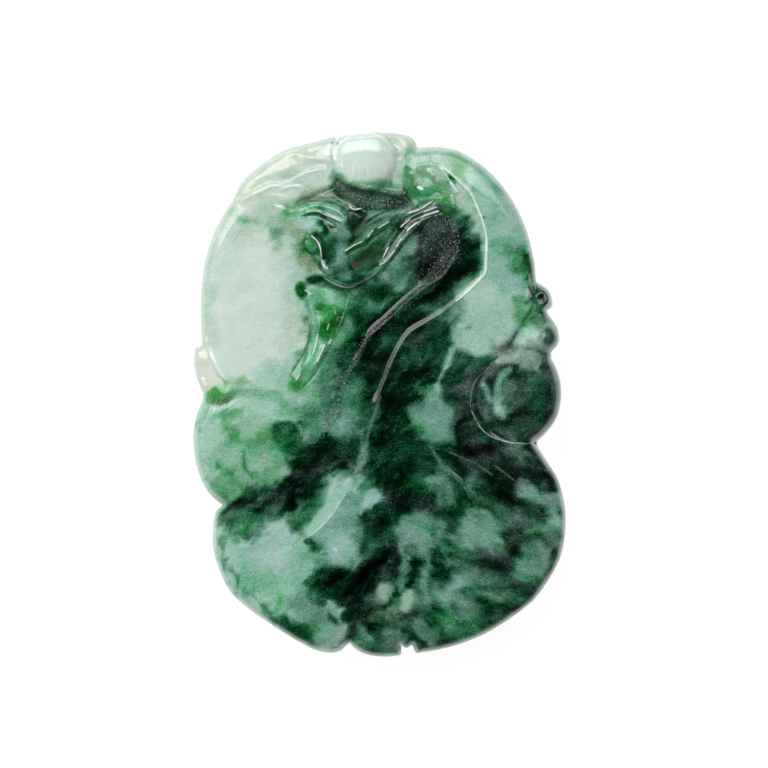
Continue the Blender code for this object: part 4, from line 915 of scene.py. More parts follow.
    ("ash", 1.0, 0.5, (17.4, -17.4), (18.6, -20.6)),
    ("dull sea", 0.8, 0.75, (21.0, -17.4), (22.2, -18.4)),
    ("ash", 0.9, 0.65, (14.6, -21.8), (15.8, -22.4)),
    ("sea", 1.0, 0.5, (18.0, -21.6), (19.4, -21.8)),
    ("dull sea", 1.0, 0.6, (-5.4, -1.4), (-6.8, -2.6)),
    ("dull sea", 0.9, 0.5, (-2.2, 12.4), (-1.4, 11.4)),
    ("deep", 0.8, 0.6, (-3.8, 3.4), (-4.4, 1.4)),
    ("dusk", 0.7, 0.85, (-0.9, 19.9), (0.6, 21.2), (2.2, 22.0), (3.2, 22.6)),
    ("ash", 0.8, 0.5, (5.2, 10.5), (6.8, 10.0)),
    ("forest", 0.8, 0.6, (9.0, -30.2), (10.8, -29.8)),
]

# areas with a firmer edge, painted over the stains: colour, softness, strength, outline in mm
PATCHES = [
    # pearl, leaves and recess
    ("ivory", 0.3, 0.95, (0.8, 33.0), (2.6, 33.2), (4.4, 32.7), (5.0, 31.4), (3.6, 30.6),
     (2.4, 30.3), (1.8, 31.2)),
    ("dew", 0.3, 0.9, (1.4, 30.6), (2.9, 29.8), (3.0, 27.4), (2.8, 25.5), (1.4, 26.2)),
    ("pearl grey", 0.25, 1.0, (-5.5, 29.6), (-5.0, 31.4), (-3.4, 32.9), (-1.0, 33.2),
     (0.9, 32.2), (1.8, 30.4), (1.7, 28.4), (1.2, 26.1), (-1.8, 25.8), (-4.0, 26.4),
     (-5.2, 27.6)),
    # painted reflection: the two soft boxes mirrored across the top of the pearl, as two white patches
    # with a gap between them
    ("snow", 0.12, 0.6, (-4.7, 30.1), (-4.1, 30.8), (-2.6, 31.2), (-1.6, 31.2), (-1.5, 30.5),
     (-2.6, 30.2)),
    ("snow", 0.12, 0.6, (-1.4, 30.6), (-1.2, 31.2), (0.4, 31.0), (1.0, 30.3), (-0.4, 30.4)),
    ("snow", 0.12, 0.9, (-6.0, 30.9), (-5.7, 30.9), (-5.3, 30.2), (-5.3, 29.2), (-5.7, 29.3)),
    ("grotto", 0.2, 0.9, (-5.2, 27.2), (-3.1, 26.0), (-0.1, 25.5), (2.5, 24.7), (3.4, 23.9),
     (3.0, 23.3), (-0.8, 22.9), (-2.9, 23.8), (-5.0, 24.9)),
    ("moss", 0.4, 0.8, (-3.6, 26.0), (-2.0, 26.2), (-0.6, 26.6), (0.8, 26.5), (2.6, 26.0),
     (2.8, 24.9), (1.2, 24.9), (-0.6, 25.2), (-2.6, 25.5)),
    ("leaf", 0.3, 0.6, (-5.2, 27.4), (-4.6, 27.4), (-3.9, 26.6), (-2.9, 26.2), (-3.6, 25.8),
     (-5.2, 26.3)),
    # the deep green hollows of the head and the paler strand between them
    ("bottle", 0.3, 0.85, (-4.1, 17.0), (-3.0, 17.9), (-1.8, 18.3), (-1.0, 19.0), (0.4, 18.9),
     (0.9, 17.6), (-0.4, 16.0), (-1.8, 15.2), (-3.2, 15.4), (-4.0, 16.2)),
    ("bottle", 0.3, 0.85, (-7.1, 19.4), (-6.8, 20.6), (-6.1, 19.8), (-6.0, 17.6), (-6.4, 16.2),
     (-7.0, 17.2)),
    ("dusk", 0.4, 0.75, (-5.3, 20.4), (-4.7, 21.0), (-4.2, 19.6), (-4.0, 17.6), (-3.7, 15.4),
     (-4.2, 14.4), (-5.1, 14.7), (-5.3, 16.4), (-5.6, 18.4)),
    ("dusk", 0.5, 0.6, (0.6, 14.6), (1.4, 16.4), (2.8, 18.2), (4.2, 19.6), (4.9, 18.8), (4.6, 16.4),
     (3.5, 14.8), (2.5, 13.6), (1.4, 13.4)),
    ("bottle", 0.3, 0.7, (-6.9, 20.8), (-6.0, 21.2), (-5.2, 20.4), (-5.2, 19.0), (-6.0, 18.6),
     (-6.8, 19.6)),
    ("bottle", 0.3, 0.6, (-7.4, 14.6), (-6.0, 14.2), (-4.6, 13.4), (-4.8, 12.9), (-6.4, 13.2),
     (-7.6, 13.8)),
    # the rough oval
    ("coal", 0.6, 0.95, (6.0, 21.9), (7.5, 22.0), (8.9, 21.2), (9.6, 19.6), (9.5, 18.0),
     (8.6, 16.5), (7.6, 15.0), (5.8, 14.1), (4.9, 14.4), (5.2, 16.0), (5.0, 18.0), (5.2, 20.2)),
    # the pale patch beside the ridge, the strip and the star in the neck
    ("dew", 0.4, 0.6, (9.0, 11.8), (10.8, 13.6), (13.2, 14.2), (15.2, 12.6), (16.8, 11.2),
     (16.6, 8.8), (15.6, 7.0), (14.4, 5.6), (12.6, 4.8), (10.8, 4.9), (9.5, 5.6), (9.2, 7.2),
     (8.6, 8.8), (8.7, 10.6)),
    ("rain", 0.2, 0.85, (8.6, 5.8), (9.4, 5.8), (8.8, 3.6), (8.1, 2.4), (7.6, 1.2), (7.5, 0.2),
     (6.6, 0.2), (6.9, 1.6), (7.9, 3.4)),
    ("teal", 0.25, 0.7, (6.6, 0.6), (7.3, 0.6), (7.5, -1.1), (8.6, -1.9), (9.4, -3.2),
     (9.3, -5.2), (9.5, -6.4), (8.2, -5.8), (6.4, -5.9), (4.6, -5.5), (5.3, -4.9), (5.7, -4.3),
     (4.4, -3.6), (3.5, -2.6), (3.5, -1.2), (5.4, -0.9)),
    # the facet right of the groove and the speckled tip beside the ball
    ("teal", 0.5, 0.55, (-4.5, 1.0), (-3.4, 1.3), (-2.7, 0.0), (-2.5, -2.5), (-2.8, -4.4),
     (-3.6, -5.7), (-5.2, -5.6), (-6.3, -5.0), (-5.7, -2.6), (-5.1, -0.8)),
    ("dull sea", 0.5, 0.45, (-10.2, -4.6), (-9.0, -4.4), (-7.2, -4.4), (-6.6, -5.0), (-7.8, -6.0),
     (-9.2, -6.1)),
    ("ivory", 0.3, 0.9, (-22.2, 6.4), (-23.4, 5.8), (-23.6, 3.8), (-22.6, 1.4), (-21.7, 0.6),
     (-20.6, 1.4), (-21.0, 3.2), (-21.6, 4.8)),
    # the ball, the leaf tip and the small leaf at the edge
    ("leaf", 0.25, 0.8, (-22.2, -0.7), (-21.7, 0.3), (-20.6, 0.9), (-19.6, 0.8), (-18.8, 0.2),
     (-19.8, -0.4), (-21.0, -0.8)),
    ("moss", 0.15, 0.75, (-17.7, -7.7), (-16.4, -6.0), (-14.7, -4.1), (-13.5, -3.4), (-12.0, -3.3),
     (-10.9, -3.4), (-10.2, -5.2), (-9.9, -7.6), (-11.4, -7.9), (-12.8, -6.9), (-14.6, -6.4),
     (-16.0, -6.8)),
    ("leaf", 0.4, 0.5, (-15.2, -5.2), (-13.6, -3.8), (-12.8, -4.4), (-13.6, -5.8), (-14.8, -6.1)),
    ("forest", 0.3, 0.9, (-13.3, -3.7), (-12.0, -3.4), (-10.7, -3.4), (-9.7, -5.2), (-9.2, -7.6),
     (-11.6, -7.4), (-12.7, -6.1), (-13.4, -5.0)),
    ("emerald", 0.4, 0.45, (-12.6, -5.6), (-11.2, -4.8), (-10.5, -5.6), (-10.2, -7.2), (-11.5, -7.0)),
    # the tassel: its dark tip and top, the scales, the strand at the left and the deep fan
    ("emerald", 0.2, 0.85, (-10.5, 13.4), (-10.1, 14.0), (-9.5, 13.9), (-9.3, 13.0), (-9.3, 12.1),
     (-9.9, 12.0), (-10.3, 12.7)),
    ("bottle", 0.3, 0.85, (-9.2, 14.3), (-7.9, 14.9), (-6.6, 14.5), (-5.4, 13.7), (-3.4, 13.3),
     (-4.0, 12.0), (-4.8, 12.5), (-6.2, 13.1), (-7.8, 13.6)),
    ("sea", 0.3, 0.6, (-9.1, 13.4), (-7.6, 13.4), (-6.0, 12.9), (-5.1, 12.2), (-5.3, 11.3),
     (-6.8, 11.0), (-8.2, 11.9)),
    ("emerald", 0.14, 0.85, (-7.9, 10.9), (-6.8, 10.8), (-5.6, 11.2), (-4.6, 11.4), (-4.3, 10.2),
     (-4.9, 8.4), (-5.8, 6.8), (-7.3, 6.9), (-7.4, 8.4), (-7.2, 9.6)),
    ("leaf", 0.25, 0.6, (-7.5, 9.0), (-7.0, 8.9), (-6.9, 7.4), (-7.4, 7.3)),
    ("moss", 0.2, 0.7, (-5.4, 12.2), (-4.5, 12.2), (-4.2, 11.0), (-4.6, 10.4), (-5.2, 11.0)),
    ("sea", 0.2, 0.85, (-9.5, 12.0), (-8.8, 11.7), (-8.2, 10.6), (-8.0, 9.4), (-8.1, 7.4),
     (-8.6, 7.4), (-8.8, 9.2), (-9.2, 10.4)),
    # the sage ground between the curl and the long ridge, and the green under the curl
    ("dew", 0.4, 0.85, (8.9, 26.3), (9.9, 26.6), (11.2, 25.0), (12.1, 23.2), (12.8, 21.6),
     (12.0, 21.2), (10.6, 22.4), (9.8, 23.0), (9.2, 24.2)),
    ("emerald", 0.2, 0.7, (8.5, 27.1), (9.0, 27.2), (9.6, 26.4), (9.2, 26.1), (8.8, 26.5)),
    ("leaf", 0.35, 0.75, (6.8, 24.9), (8.0, 25.2), (8.8, 24.0), (9.0, 22.8), (8.2, 22.5),
     (7.6, 23.2), (6.8, 24.2)),
    ("moss", 0.25, 0.9, (3.0, 27.6), (3.7, 28.0), (4.2, 27.4), (4.2, 26.4), (4.6, 25.6),
     (5.4, 25.0), (6.8, 25.0), (6.8, 24.3), (4.6, 24.0), (3.5, 24.6), (3.0, 26.0)),
    ("bottle", 0.3, 0.7, (-11.6, -4.6), (-10.2, -4.4), (-9.4, -6.4), (-9.4, -8.0), (-10.8, -7.6),
     (-11.4, -6.2)),
    # the disc
    # painted reflection: the pale cap along the top of the disc stands for the soft boxes mirrored
    # there
    ("sage", 0.15, 0.95, (14.4, 4.2), (15.4, 5.0), (17.0, 5.4), (18.8, 5.4), (20.2, 4.9),
     (19.7, 3.4), (18.4, 3.1), (17.0, 3.8), (15.6, 3.8)),
    ("rain", 0.18, 0.7, (16.2, 3.4), (15.0, 2.8), (14.3, 1.4), (14.1, -0.6), (14.4, -2.4),
     (15.2, -3.1), (15.8, -2.7), (15.1, -1.2), (15.1, 0.6), (15.6, 2.0), (16.4, 2.9)),
    ("rain", 0.22, 0.6, (12.7, 1.3), (13.4, 1.1), (13.9, -0.2), (13.7, -0.9), (13.1, -0.3)),
    # the scrolls
    ("mist", 0.3, 0.75, (16.3, 6.3), (17.4, 8.0), (19.0, 8.2), (19.8, 7.0), (20.8, 5.6), (19.0, 5.8),
     (17.4, 5.9)),
    ("moss", 0.3, 0.8, (17.8, 8.6), (18.4, 9.8), (19.6, 10.8), (20.2, 9.4), (19.8, 8.2), (19.0, 8.6)),
    ("forest", 0.3, 0.5, (18.8, 9.2), (19.6, 10.6), (20.6, 10.2), (20.2, 9.0)),
    ("forest", 0.25, 0.85, (19.3, 13.6), (20.4, 13.5), (21.4, 12.5), (21.4, 11.2), (20.8, 10.3),
     (19.4, 11.2), (18.9, 12.4)),
    ("ash", 0.25, 0.7, (19.9, 9.3), (20.9, 9.8), (22.0, 8.9), (22.3, 7.4), (22.0, 6.2),
     (20.8, 5.6), (19.9, 6.4), (19.9, 7.8)),
    ("deep", 0.25, 0.9, (20.4, 8.0), (21.2, 8.3), (21.8, 7.6), (21.6, 6.6), (20.9, 6.2),
     (20.5, 6.9), (21.0, 7.3)),
    ("deep", 0.2, 0.9, (19.9, 12.6), (20.6, 12.6), (20.9, 11.8), (20.4, 11.3), (20.0, 11.8)),
    # the two clouds of the lower body
    ("dull sea", 0.5, 0.7, (2.2, -17.5), (2.6, -15.6), (4.0, -14.8), (5.6, -14.9), (7.6, -15.6),
     (8.2, -16.4), (7.6, -18.2), (6.8, -19.6), (5.4, -20.5), (3.4, -19.4)),
    ("dull sea", 0.5, 0.6, (8.6, -17.8), (10.2, -16.2), (10.4, -15.0), (11.6, -14.2), (13.0, -14.4),
     (14.4, -15.3), (15.2, -16.2), (14.8, -18.0), (13.4, -19.0), (10.6, -19.2)),
    # the facet right of the line, and the dark olive patch under the left notch
    ("teal", 0.4, 0.65, (-4.2, -12.2), (-2.0, -12.4), (-2.4, -14.8), (-1.9, -16.6), (-2.4, -19.0),
     (-2.8, -21.4), (-5.4, -21.4), (-6.9, -20.3), (-7.9, -18.6), (-8.8, -18.0), (-7.3, -16.6),
     (-5.4, -14.2)),
    ("rain", 0.6, 0.75, (-6.6, -18.4), (-4.8, -17.6), (-2.9, -18.8), (-3.0, -20.8), (-4.8, -21.2),
     (-6.4, -20.2)),
    ("forest", 0.4, 0.8, (-19.2, -14.5), (-15.5, -14.8), (-14.3, -15.6), (-16.0, -17.5),
     (-17.6, -17.4), (-19.2, -16.0)),
    ("emerald", 0.3, 0.6, (-17.4, -16.6), (-15.8, -15.8), (-15.6, -16.4), (-17.0, -17.5)),
    # the band left of the line in the lower body, the dark diamond, the ivory spots
    ("mist", 0.25, 0.6, (-3.4, -10.6), (-3.9, -11.8), (-5.3, -14.2), (-7.3, -16.5),
     (-9.2, -17.9), (-8.8, -16.6), (-7.6, -15.2), (-6.6, -13.4), (-5.4, -11.9), (-4.4, -10.4)),
    ("deep", 0.15, 0.9, (-9.4, -18.2), (-8.6, -17.9), (-8.2, -18.4), (-8.8, -18.8)),
    ("ivory", 0.35, 0.55, (0.0, -23.6), (1.2, -23.4), (1.7, -24.2), (1.2, -25.5), (0.3, -26.2),
     (-0.3, -25.0)),
    ("ivory", 0.3, 0.6, (2.8, -25.0), (3.4, -24.4), (4.1, -24.2), (4.3, -25.4), (3.9, -26.6),
     (3.2, -27.2), (2.6, -26.6), (2.9, -26.0)),
]

CREASE_DEPTH = 0.12     # depth of a crease of full strength
CREST_HEIGHT = 0.08     # height of a crest of full strength
# creases are painted dark as painted shade, crests pale as painted highlights; these say how much of
# the stone's colour the strongest of each hides
CREASE_SHADE_COVER = 0.75     # how much of the stone's colour the strongest crease hides
CREST_HIGHLIGHT_COVER = 0.95      # the same for a crest

# fine lines cut into the surface and painted dark: painted shade in the narrow cuts, the bronze ones
# brown pits of the stone: colour, half width, strength, points in mm
CREASES_AND_SHADE = [
    ("bronze", 0.11, 0.9, (-5.95, 31.2), (-5.85, 31.4)),
    ("bronze", 0.11, 0.9, (-5.3, 31.1), (-5.2, 31.4)),
    ("emerald", 0.20, 0.8, (-9.0, 9.6), (-8.7, 8.0), (-9.2, 5.6), (-10.3, 3.7), (-11.2, 2.3)),
    ("emerald", 0.20, 0.8, (-5.0, 8.6), (-5.9, 6.6), (-6.9, 4.6), (-8.2, 2.4), (-9.6, 0.9)),
    ("deep", 0.42, 1.0, (14.6, 4.7), (13.4, 3.2), (12.4, 1.6), (12.0, 0.0), (12.1, -1.6), (12.8, -3.2),
     (13.8, -4.5), (15.2, -5.4)),
    ("deep", 0.22, 0.9, (-10.2, 23.5), (-8.6, 24.1), (-6.6, 24.0), (-5.0, 23.5), (-3.9, 22.6)),
    ("deep", 0.16, 0.8, (-9.8, 22.2), (-8.2, 22.4), (-6.8, 21.9), (-5.4, 21.0)),
    ("deep", 0.25, 0.9, (-8.0, 19.9), (-7.0, 19.0), (-6.8, 17.6), (-6.5, 16.4)),
    ("deep", 0.25, 0.9, (-9.1, 19.6), (-9.4, 18.4), (-8.4, 17.3)),
    ("deep", 0.30, 1.0, (-7.5, 16.6), (-7.3, 15.6), (-6.4, 14.8), (-4.8, 14.0), (-3.4, 13.8),
     (-2.2, 14.3)),
    ("deep", 0.22, 0.9, (-4.2, 17.4), (-3.0, 18.1), (-1.8, 18.5), (-0.8, 19.5), (0.8, 20.6)),
    ("deep", 0.25, 0.9, (-3.4, 19.6), (-2.4, 20.6), (-1.4, 21.6), (0.4, 22.6), (2.2, 23.3)),
    ("deep", 0.18, 0.8, (-4.0, 22.9), (-3.0, 22.6), (-2.2, 22.0)),
    ("deep", 0.16, 0.9, (0.3, 17.9), (1.3, 19.6), (2.2, 20.8)),
    ("deep", 0.16, 1.0, (0.9, 17.5), (1.9, 19.2), (3.2, 20.9)),
    ("deep", 0.18, 1.0, (0.9, 16.2), (2.2, 17.7), (3.4, 19.4), (4.6, 20.6)),
    ("deep", 0.14, 0.9, (2.9, 20.6), (4.0, 21.7), (5.6, 22.4)),
    ("deep", 0.14, 0.9, (3.0, 21.7), (4.6, 22.6), (6.6, 23.6)),
    ("deep", 0.14, 0.8, (5.6, 22.0), (7.0, 22.4), (7.9, 22.7)),
    ("deep", 0.15, 0.5, (9.3, 20.9), (9.7, 18.8), (8.9, 16.9), (7.9, 15.2), (6.7, 14.3), (5.2, 13.3),
     (3.1, 11.5), (0.9, 9.4), (-1.3, 7.4), (-2.1, 6.1), (-2.7, 4.5), (-3.8, 3.0), (-4.7, 0.9)),
]

# fine crests, raised a little, with painted highlights along them where the polish catches the light:
# colour, half width, strength, points in mm
CRESTS_AND_HIGHLIGHTS = [
    ("snow", 0.14, 1.0, (7.3, 28.6), (8.8, 27.5), (10.3, 26.1), (11.4, 24.9), (12.2, 23.1)),
    ("snow", 0.17, 1.0, (11.9, 23.9), (12.6, 22.1), (13.1, 20.5), (13.3, 19.3)),
    ("snow", 0.21, 1.0, (13.3, 19.6), (13.25, 17.4), (13.1, 15.3), (12.7, 14.6)),
    ("snow", 0.19, 1.0, (12.8, 14.8), (11.2, 13.1), (9.5, 11.6)),
    ("snow", 0.12, 0.8, (7.6, 28.2), (8.4, 27.1), (9.0, 26.2)),
    ("snow", 0.20, 0.8, (8.8, 26.4), (9.3, 25.7), (9.8, 25.0)),
    ("snow", 0.13, 0.5, (8.9, 24.9), (9.2, 23.7)),
    ("snow", 0.15, 0.8, (-21.6, 7.3), (-21.4, 6.5)),
    ("snow", 0.18, 1.0, (-21.2, 5.2), (-20.6, 4.2), (-19.9, 3.0), (-19.2, 1.9)),
    ("snow", 0.17, 0.9, (-22.1, 2.2), (-21.8, 1.6), (-21.4, 0.9)),
    ("snow", 0.20, 0.9, (-15.8, 24.9), (-14.6, 25.4), (-13.4, 25.9), (-12.2, 26.0)),
    ("snow", 0.12, 0.7, (-11.8, 26.3), (-10.6, 27.0), (-9.0, 27.6), (-6.6, 28.1)),
    ("snow", 0.14, 0.7, (-12.6, 25.4), (-10.5, 25.9), (-9.7, 25.8)),
    ("snow", 0.16, 0.7, (-12.7, 23.4), (-12.0, 23.4)),
    ("snow", 0.13, 0.8, (-9.2, 22.7), (-7.8, 22.8), (-7.0, 22.5)),
    ("snow", 0.16, 1.0, (-7.1, 22.5), (-6.1, 22.1), (-4.9, 21.6)),
    ("snow", 0.14, 1.0, (-8.5, 19.7), (-8.2, 19.5), (-7.6, 18.9), (-7.3, 17.9), (-7.2, 17.0)),
    ("snow", 0.26, 1.0, (-7.1, 16.7), (-6.9, 16.1), (-6.5, 15.6)),
    ("snow", 0.12, 1.0, (-4.3, 17.8), (-3.2, 18.5), (-2.0, 19.05)),
    ("snow", 0.17, 1.0, (-1.5, 19.5), (-1.1, 20.0), (-0.8, 20.5)),
    ("snow", 0.14, 1.0, (-0.2, 20.6), (0.6, 21.1), (1.3, 21.5)),
    ("snow", 0.14, 1.0, (0.0, 16.1), (0.9, 16.6), (1.9, 17.9)),
    ("snow", 0.12, 1.0, (2.1, 18.4), (2.7, 19.4)),
    ("snow", 0.12, 0.9, (0.4, 17.0), (1.1, 18.3)),
    ("snow", 0.13, 1.0, (3.4, 20.3), (3.8, 20.7), (4.8, 21.5)),
    ("snow", 0.11, 0.9, (2.6, 20.8), (3.8, 21.8)),
    ("snow", 0.12, 0.9, (3.4, 22.5), (5.0, 23.0), (6.6, 24.1)),
    ("snow", 0.12, 0.85, (5.5, 22.7), (7.1, 23.3)),
    ("snow", 0.12, 0.85, (5.2, 22.1), (7.4, 22.8)),
    ("snow", 0.13, 0.95, (-3.7, 23.4), (-3.2, 23.0), (-2.2, 23.15)),
    ("snow", 0.13, 0.7, (-5.3, 26.4), (-5.2, 25.9)),
    ("snow", 0.26, 1.0, (4.7, 25.8), (5.4, 25.5)),
    ("snow", 0.14, 0.6, (7.0, 24.4), (7.5, 24.5)),
    ("snow", 0.14, 0.7, (6.0, 28.1), (6.8, 27.2)),
    ("snow", 0.14, 0.8, (-9.3, 13.0), (-8.5, 12.5)),
    ("snow", 0.10, 0.7, (-9.0, 10.8), (-8.5, 9.6), (-8.2, 8.7)),
    ("snow", 0.14, 0.8, (-7.7, 7.6), (-7.9, 6.4), (-8.3, 5.0)),
    ("snow", 0.09, 0.6, (-6.3, 8.8), (-6.5, 8.0)),
    ("mist", 0.09, 0.6, (-3.7, 12.6), (-4.2, 10.8), (-5.0, 8.6), (-5.8, 6.8)),
    ("mist", 0.10, 0.7, (-8.0, 10.0), (-7.5, 9.3), (-7.5, 8.4), (-7.7, 7.6)),
    ("mist", 0.09, 0.5, (-5.7, 11.0), (-5.4, 9.9)),
    ("snow", 0.16, 0.9, (-6.0, 6.9), (-6.3, 6.3)),
    ("snow", 0.15, 0.9, (-6.8, 6.2), (-7.4, 4.9), (-7.8, 3.9)),
    ("snow", 0.15, 0.9, (-9.8, 2.6), (-10.4, 1.8)),
    ("snow", 0.12, 0.35, (-7.3, 14.8), (-6.0, 14.0), (-5.0, 13.5), (-3.7, 13.3), (-2.8, 13.7),
     (-1.2, 14.6), (-0.1, 15.4)),
    ("snow", 0.12, 0.15, (0.9, 9.4), (-0.4, 8.1), (-1.4, 7.3), (-2.1, 6.1)),
    ("dew", 0.10, 0.3, (14.4, 4.5), (13.2, 3.0), (12.0, 1.8), (11.4, 0.2), (11.3, -1.6)),
    ("dew", 0.10, 0.6, (11.4, -1.9), (12.1, -3.4), (13.1, -4.7), (14.6, -5.5), (16.4, -6.0),
     (18.2, -6.1), (19.2, -5.9)),
    ("sage", 0.3, 0.35, (0.1, -0.2), (-0.6, -2.4), (-1.4, -4.8), (-2.1, -7.6), (-3.2, -10.4)),
    ("sage", 0.14, 0.35, (6.3, -6.4), (7.4, -8.3), (8.8, -9.8), (10.2, -11.0), (11.0, -12.4)),
    ("sage", 0.09, 0.4, (-6.4, -5.2), (-5.2, -2.4), (-4.2, 0.2), (-3.6, 1.8)),
    ("dew", 0.10, 0.3, (-12.9, -20.8), (-11.4, -19.5), (-9.4, -18.1)),
    ("dew", 0.09, 0.55, (-9.2, -17.9), (-7.6, -16.8), (-5.6, -14.6), (-4.3, -12.3)),
    ("snow", 0.10, 0.7, (-3.2, 28.9), (-3.35, 27.2)),
    ("snow", 0.09, 0.5, (-2.5, 28.6), (-2.6, 27.2)),
    ("snow", 0.09, 0.7, (-1.6, 28.9), (-1.5, 27.4)),
    ("snow", 0.09, 0.45, (-0.6, 28.6), (-0.4, 27.2)),
    ("snow", 0.09, 0.5, (0.4, 28.7), (0.7, 27.3)),
    ("snow", 0.13, 1.0, (-4.9, 28.7), (-4.5, 28.0)),
    ("snow", 0.13, 0.8, (-4.9, 31.2), (-3.6, 32.2), (-2.0, 32.5), (-0.4, 32.3), (0.8, 31.5)),
    ("snow", 0.22, 0.5, (-5.8, -19.1), (-5.3, -19.4)),
    ("sage", 0.18, 0.3, (8.6, -7.1), (10.4, -7.9), (12.0, -8.6), (14.0, -10.0)),
    ("sage", 0.16, 0.3, (14.3, -8.8), (15.6, -9.8), (16.8, -10.7)),
]


LATTICE = 32    # random numbers along each side of the lattice, which then repeats


def lattice_noise(x, y, z, size, seed):
    """Smooth value noise, -1 to 1: random numbers on a cubic lattice of the given size, blended."""
    values = np.random.RandomState(seed).uniform(-1.0, 1.0, (LATTICE, LATTICE, LATTICE))
    spots = [v / size + LATTICE / 2 for v in (x, y, z)]
    base = [np.floor(spot).astype(int) for spot in spots]
    part = [spot - b for spot, b in zip(spots, base)]
    part = [p * p * (3.0 - 2.0 * p) for p in part]
    total = np.zeros(np.shape(x))
    for corner in range(8):
        step = [(corner >> axis) & 1 for axis in range(3)]
        weight = 1.0
        for p, s in zip(part, step):
            weight = weight * (p if s else 1.0 - p)
        total += weight * values[tuple((b + s) % LATTICE for b, s in zip(base, step))]
    return total


def cloud(x, y, z, size, seed, octaves=3):
    """Lattice noise in octaves, each half the size of the one before and 0.55 as strong."""
    total, share = 0.0, 1.0
    for octave in range(octaves):
        total = total + share * lattice_noise(x, y, z, size / 2 ** octave, seed + octave)
        share *= 0.55
    return total


UPPER_SLANT = 0.64      # direction of the fibres, in radians up from +X
LOWER_SLANT = -0.45     # their direction in the lower right


def lower_right(x, y):
    """1 in the lower right of the stone, where the fibres run down to the right."""
    return ease(-3.0, -9.0, y) * ease(1.0, 7.0, x)


def fibrous(x, y, z, stretch, size, seed, octaves=3):
    """Noise drawn out along the fibres, which rise to the right except in the lower right."""
    share = lower_right(x, y)
    total = np.zeros(np.shape(x))
    for angle, weight in ((UPPER_SLANT, 1.0 - share), (LOWER_SLANT, share)):
        along, across = x * np.cos(angle) + y * np.sin(angle), y * np.cos(angle) - x * np.sin(angle)
        total += weight * cloud(along / stretch, across, z, size, seed, octaves)
    return total


def linear(colour):
    """An everyday 0 to 255 colour as linear light."""
    part = np.array(colour) / 255.0
    return np.where(part <= 0.04045, part / 12.92, ((part + 0.055) / 1.055) ** 2.4)


def absorption(name):
    """The named colour as the logarithm of the light it gives back."""
    return np.log(np.maximum(linear(PALETTE[name]), 0.0015))


GROUND_MASS = "deep"    # the colour under all the stains
WARP = 0.5              # how far noise shifts the stains, in mm
STREAKING = 0.5         # how far fibres pull out their edges, in mm
STAIN_GRAIN = 0.75      # how strongly grains fray the edge of a stain
PATCH_GRAIN = 0.2       # the same for a patch, in mm
FLECK_SHARE = 0.55      # strength of the greener flecks in the darkest places
WARM_SHIFT = 0.13       # how far red wanders from place to place
BLUE_SHARE = 0.6        # how far blue goes with it
# the thin edge is painted pale: a painted reflection and glow of the white surroundings
RIM_GLARE_SHARE = 0.85        # how pale the thin edge is
RAGGED = 0.035          # how far fine lines wander, in mm


def cover(tone, at, mask, name):
    """Moves the tone of some points towards a named colour."""
    tone[at] += mask[:, None] * (absorption(name) - tone[at])


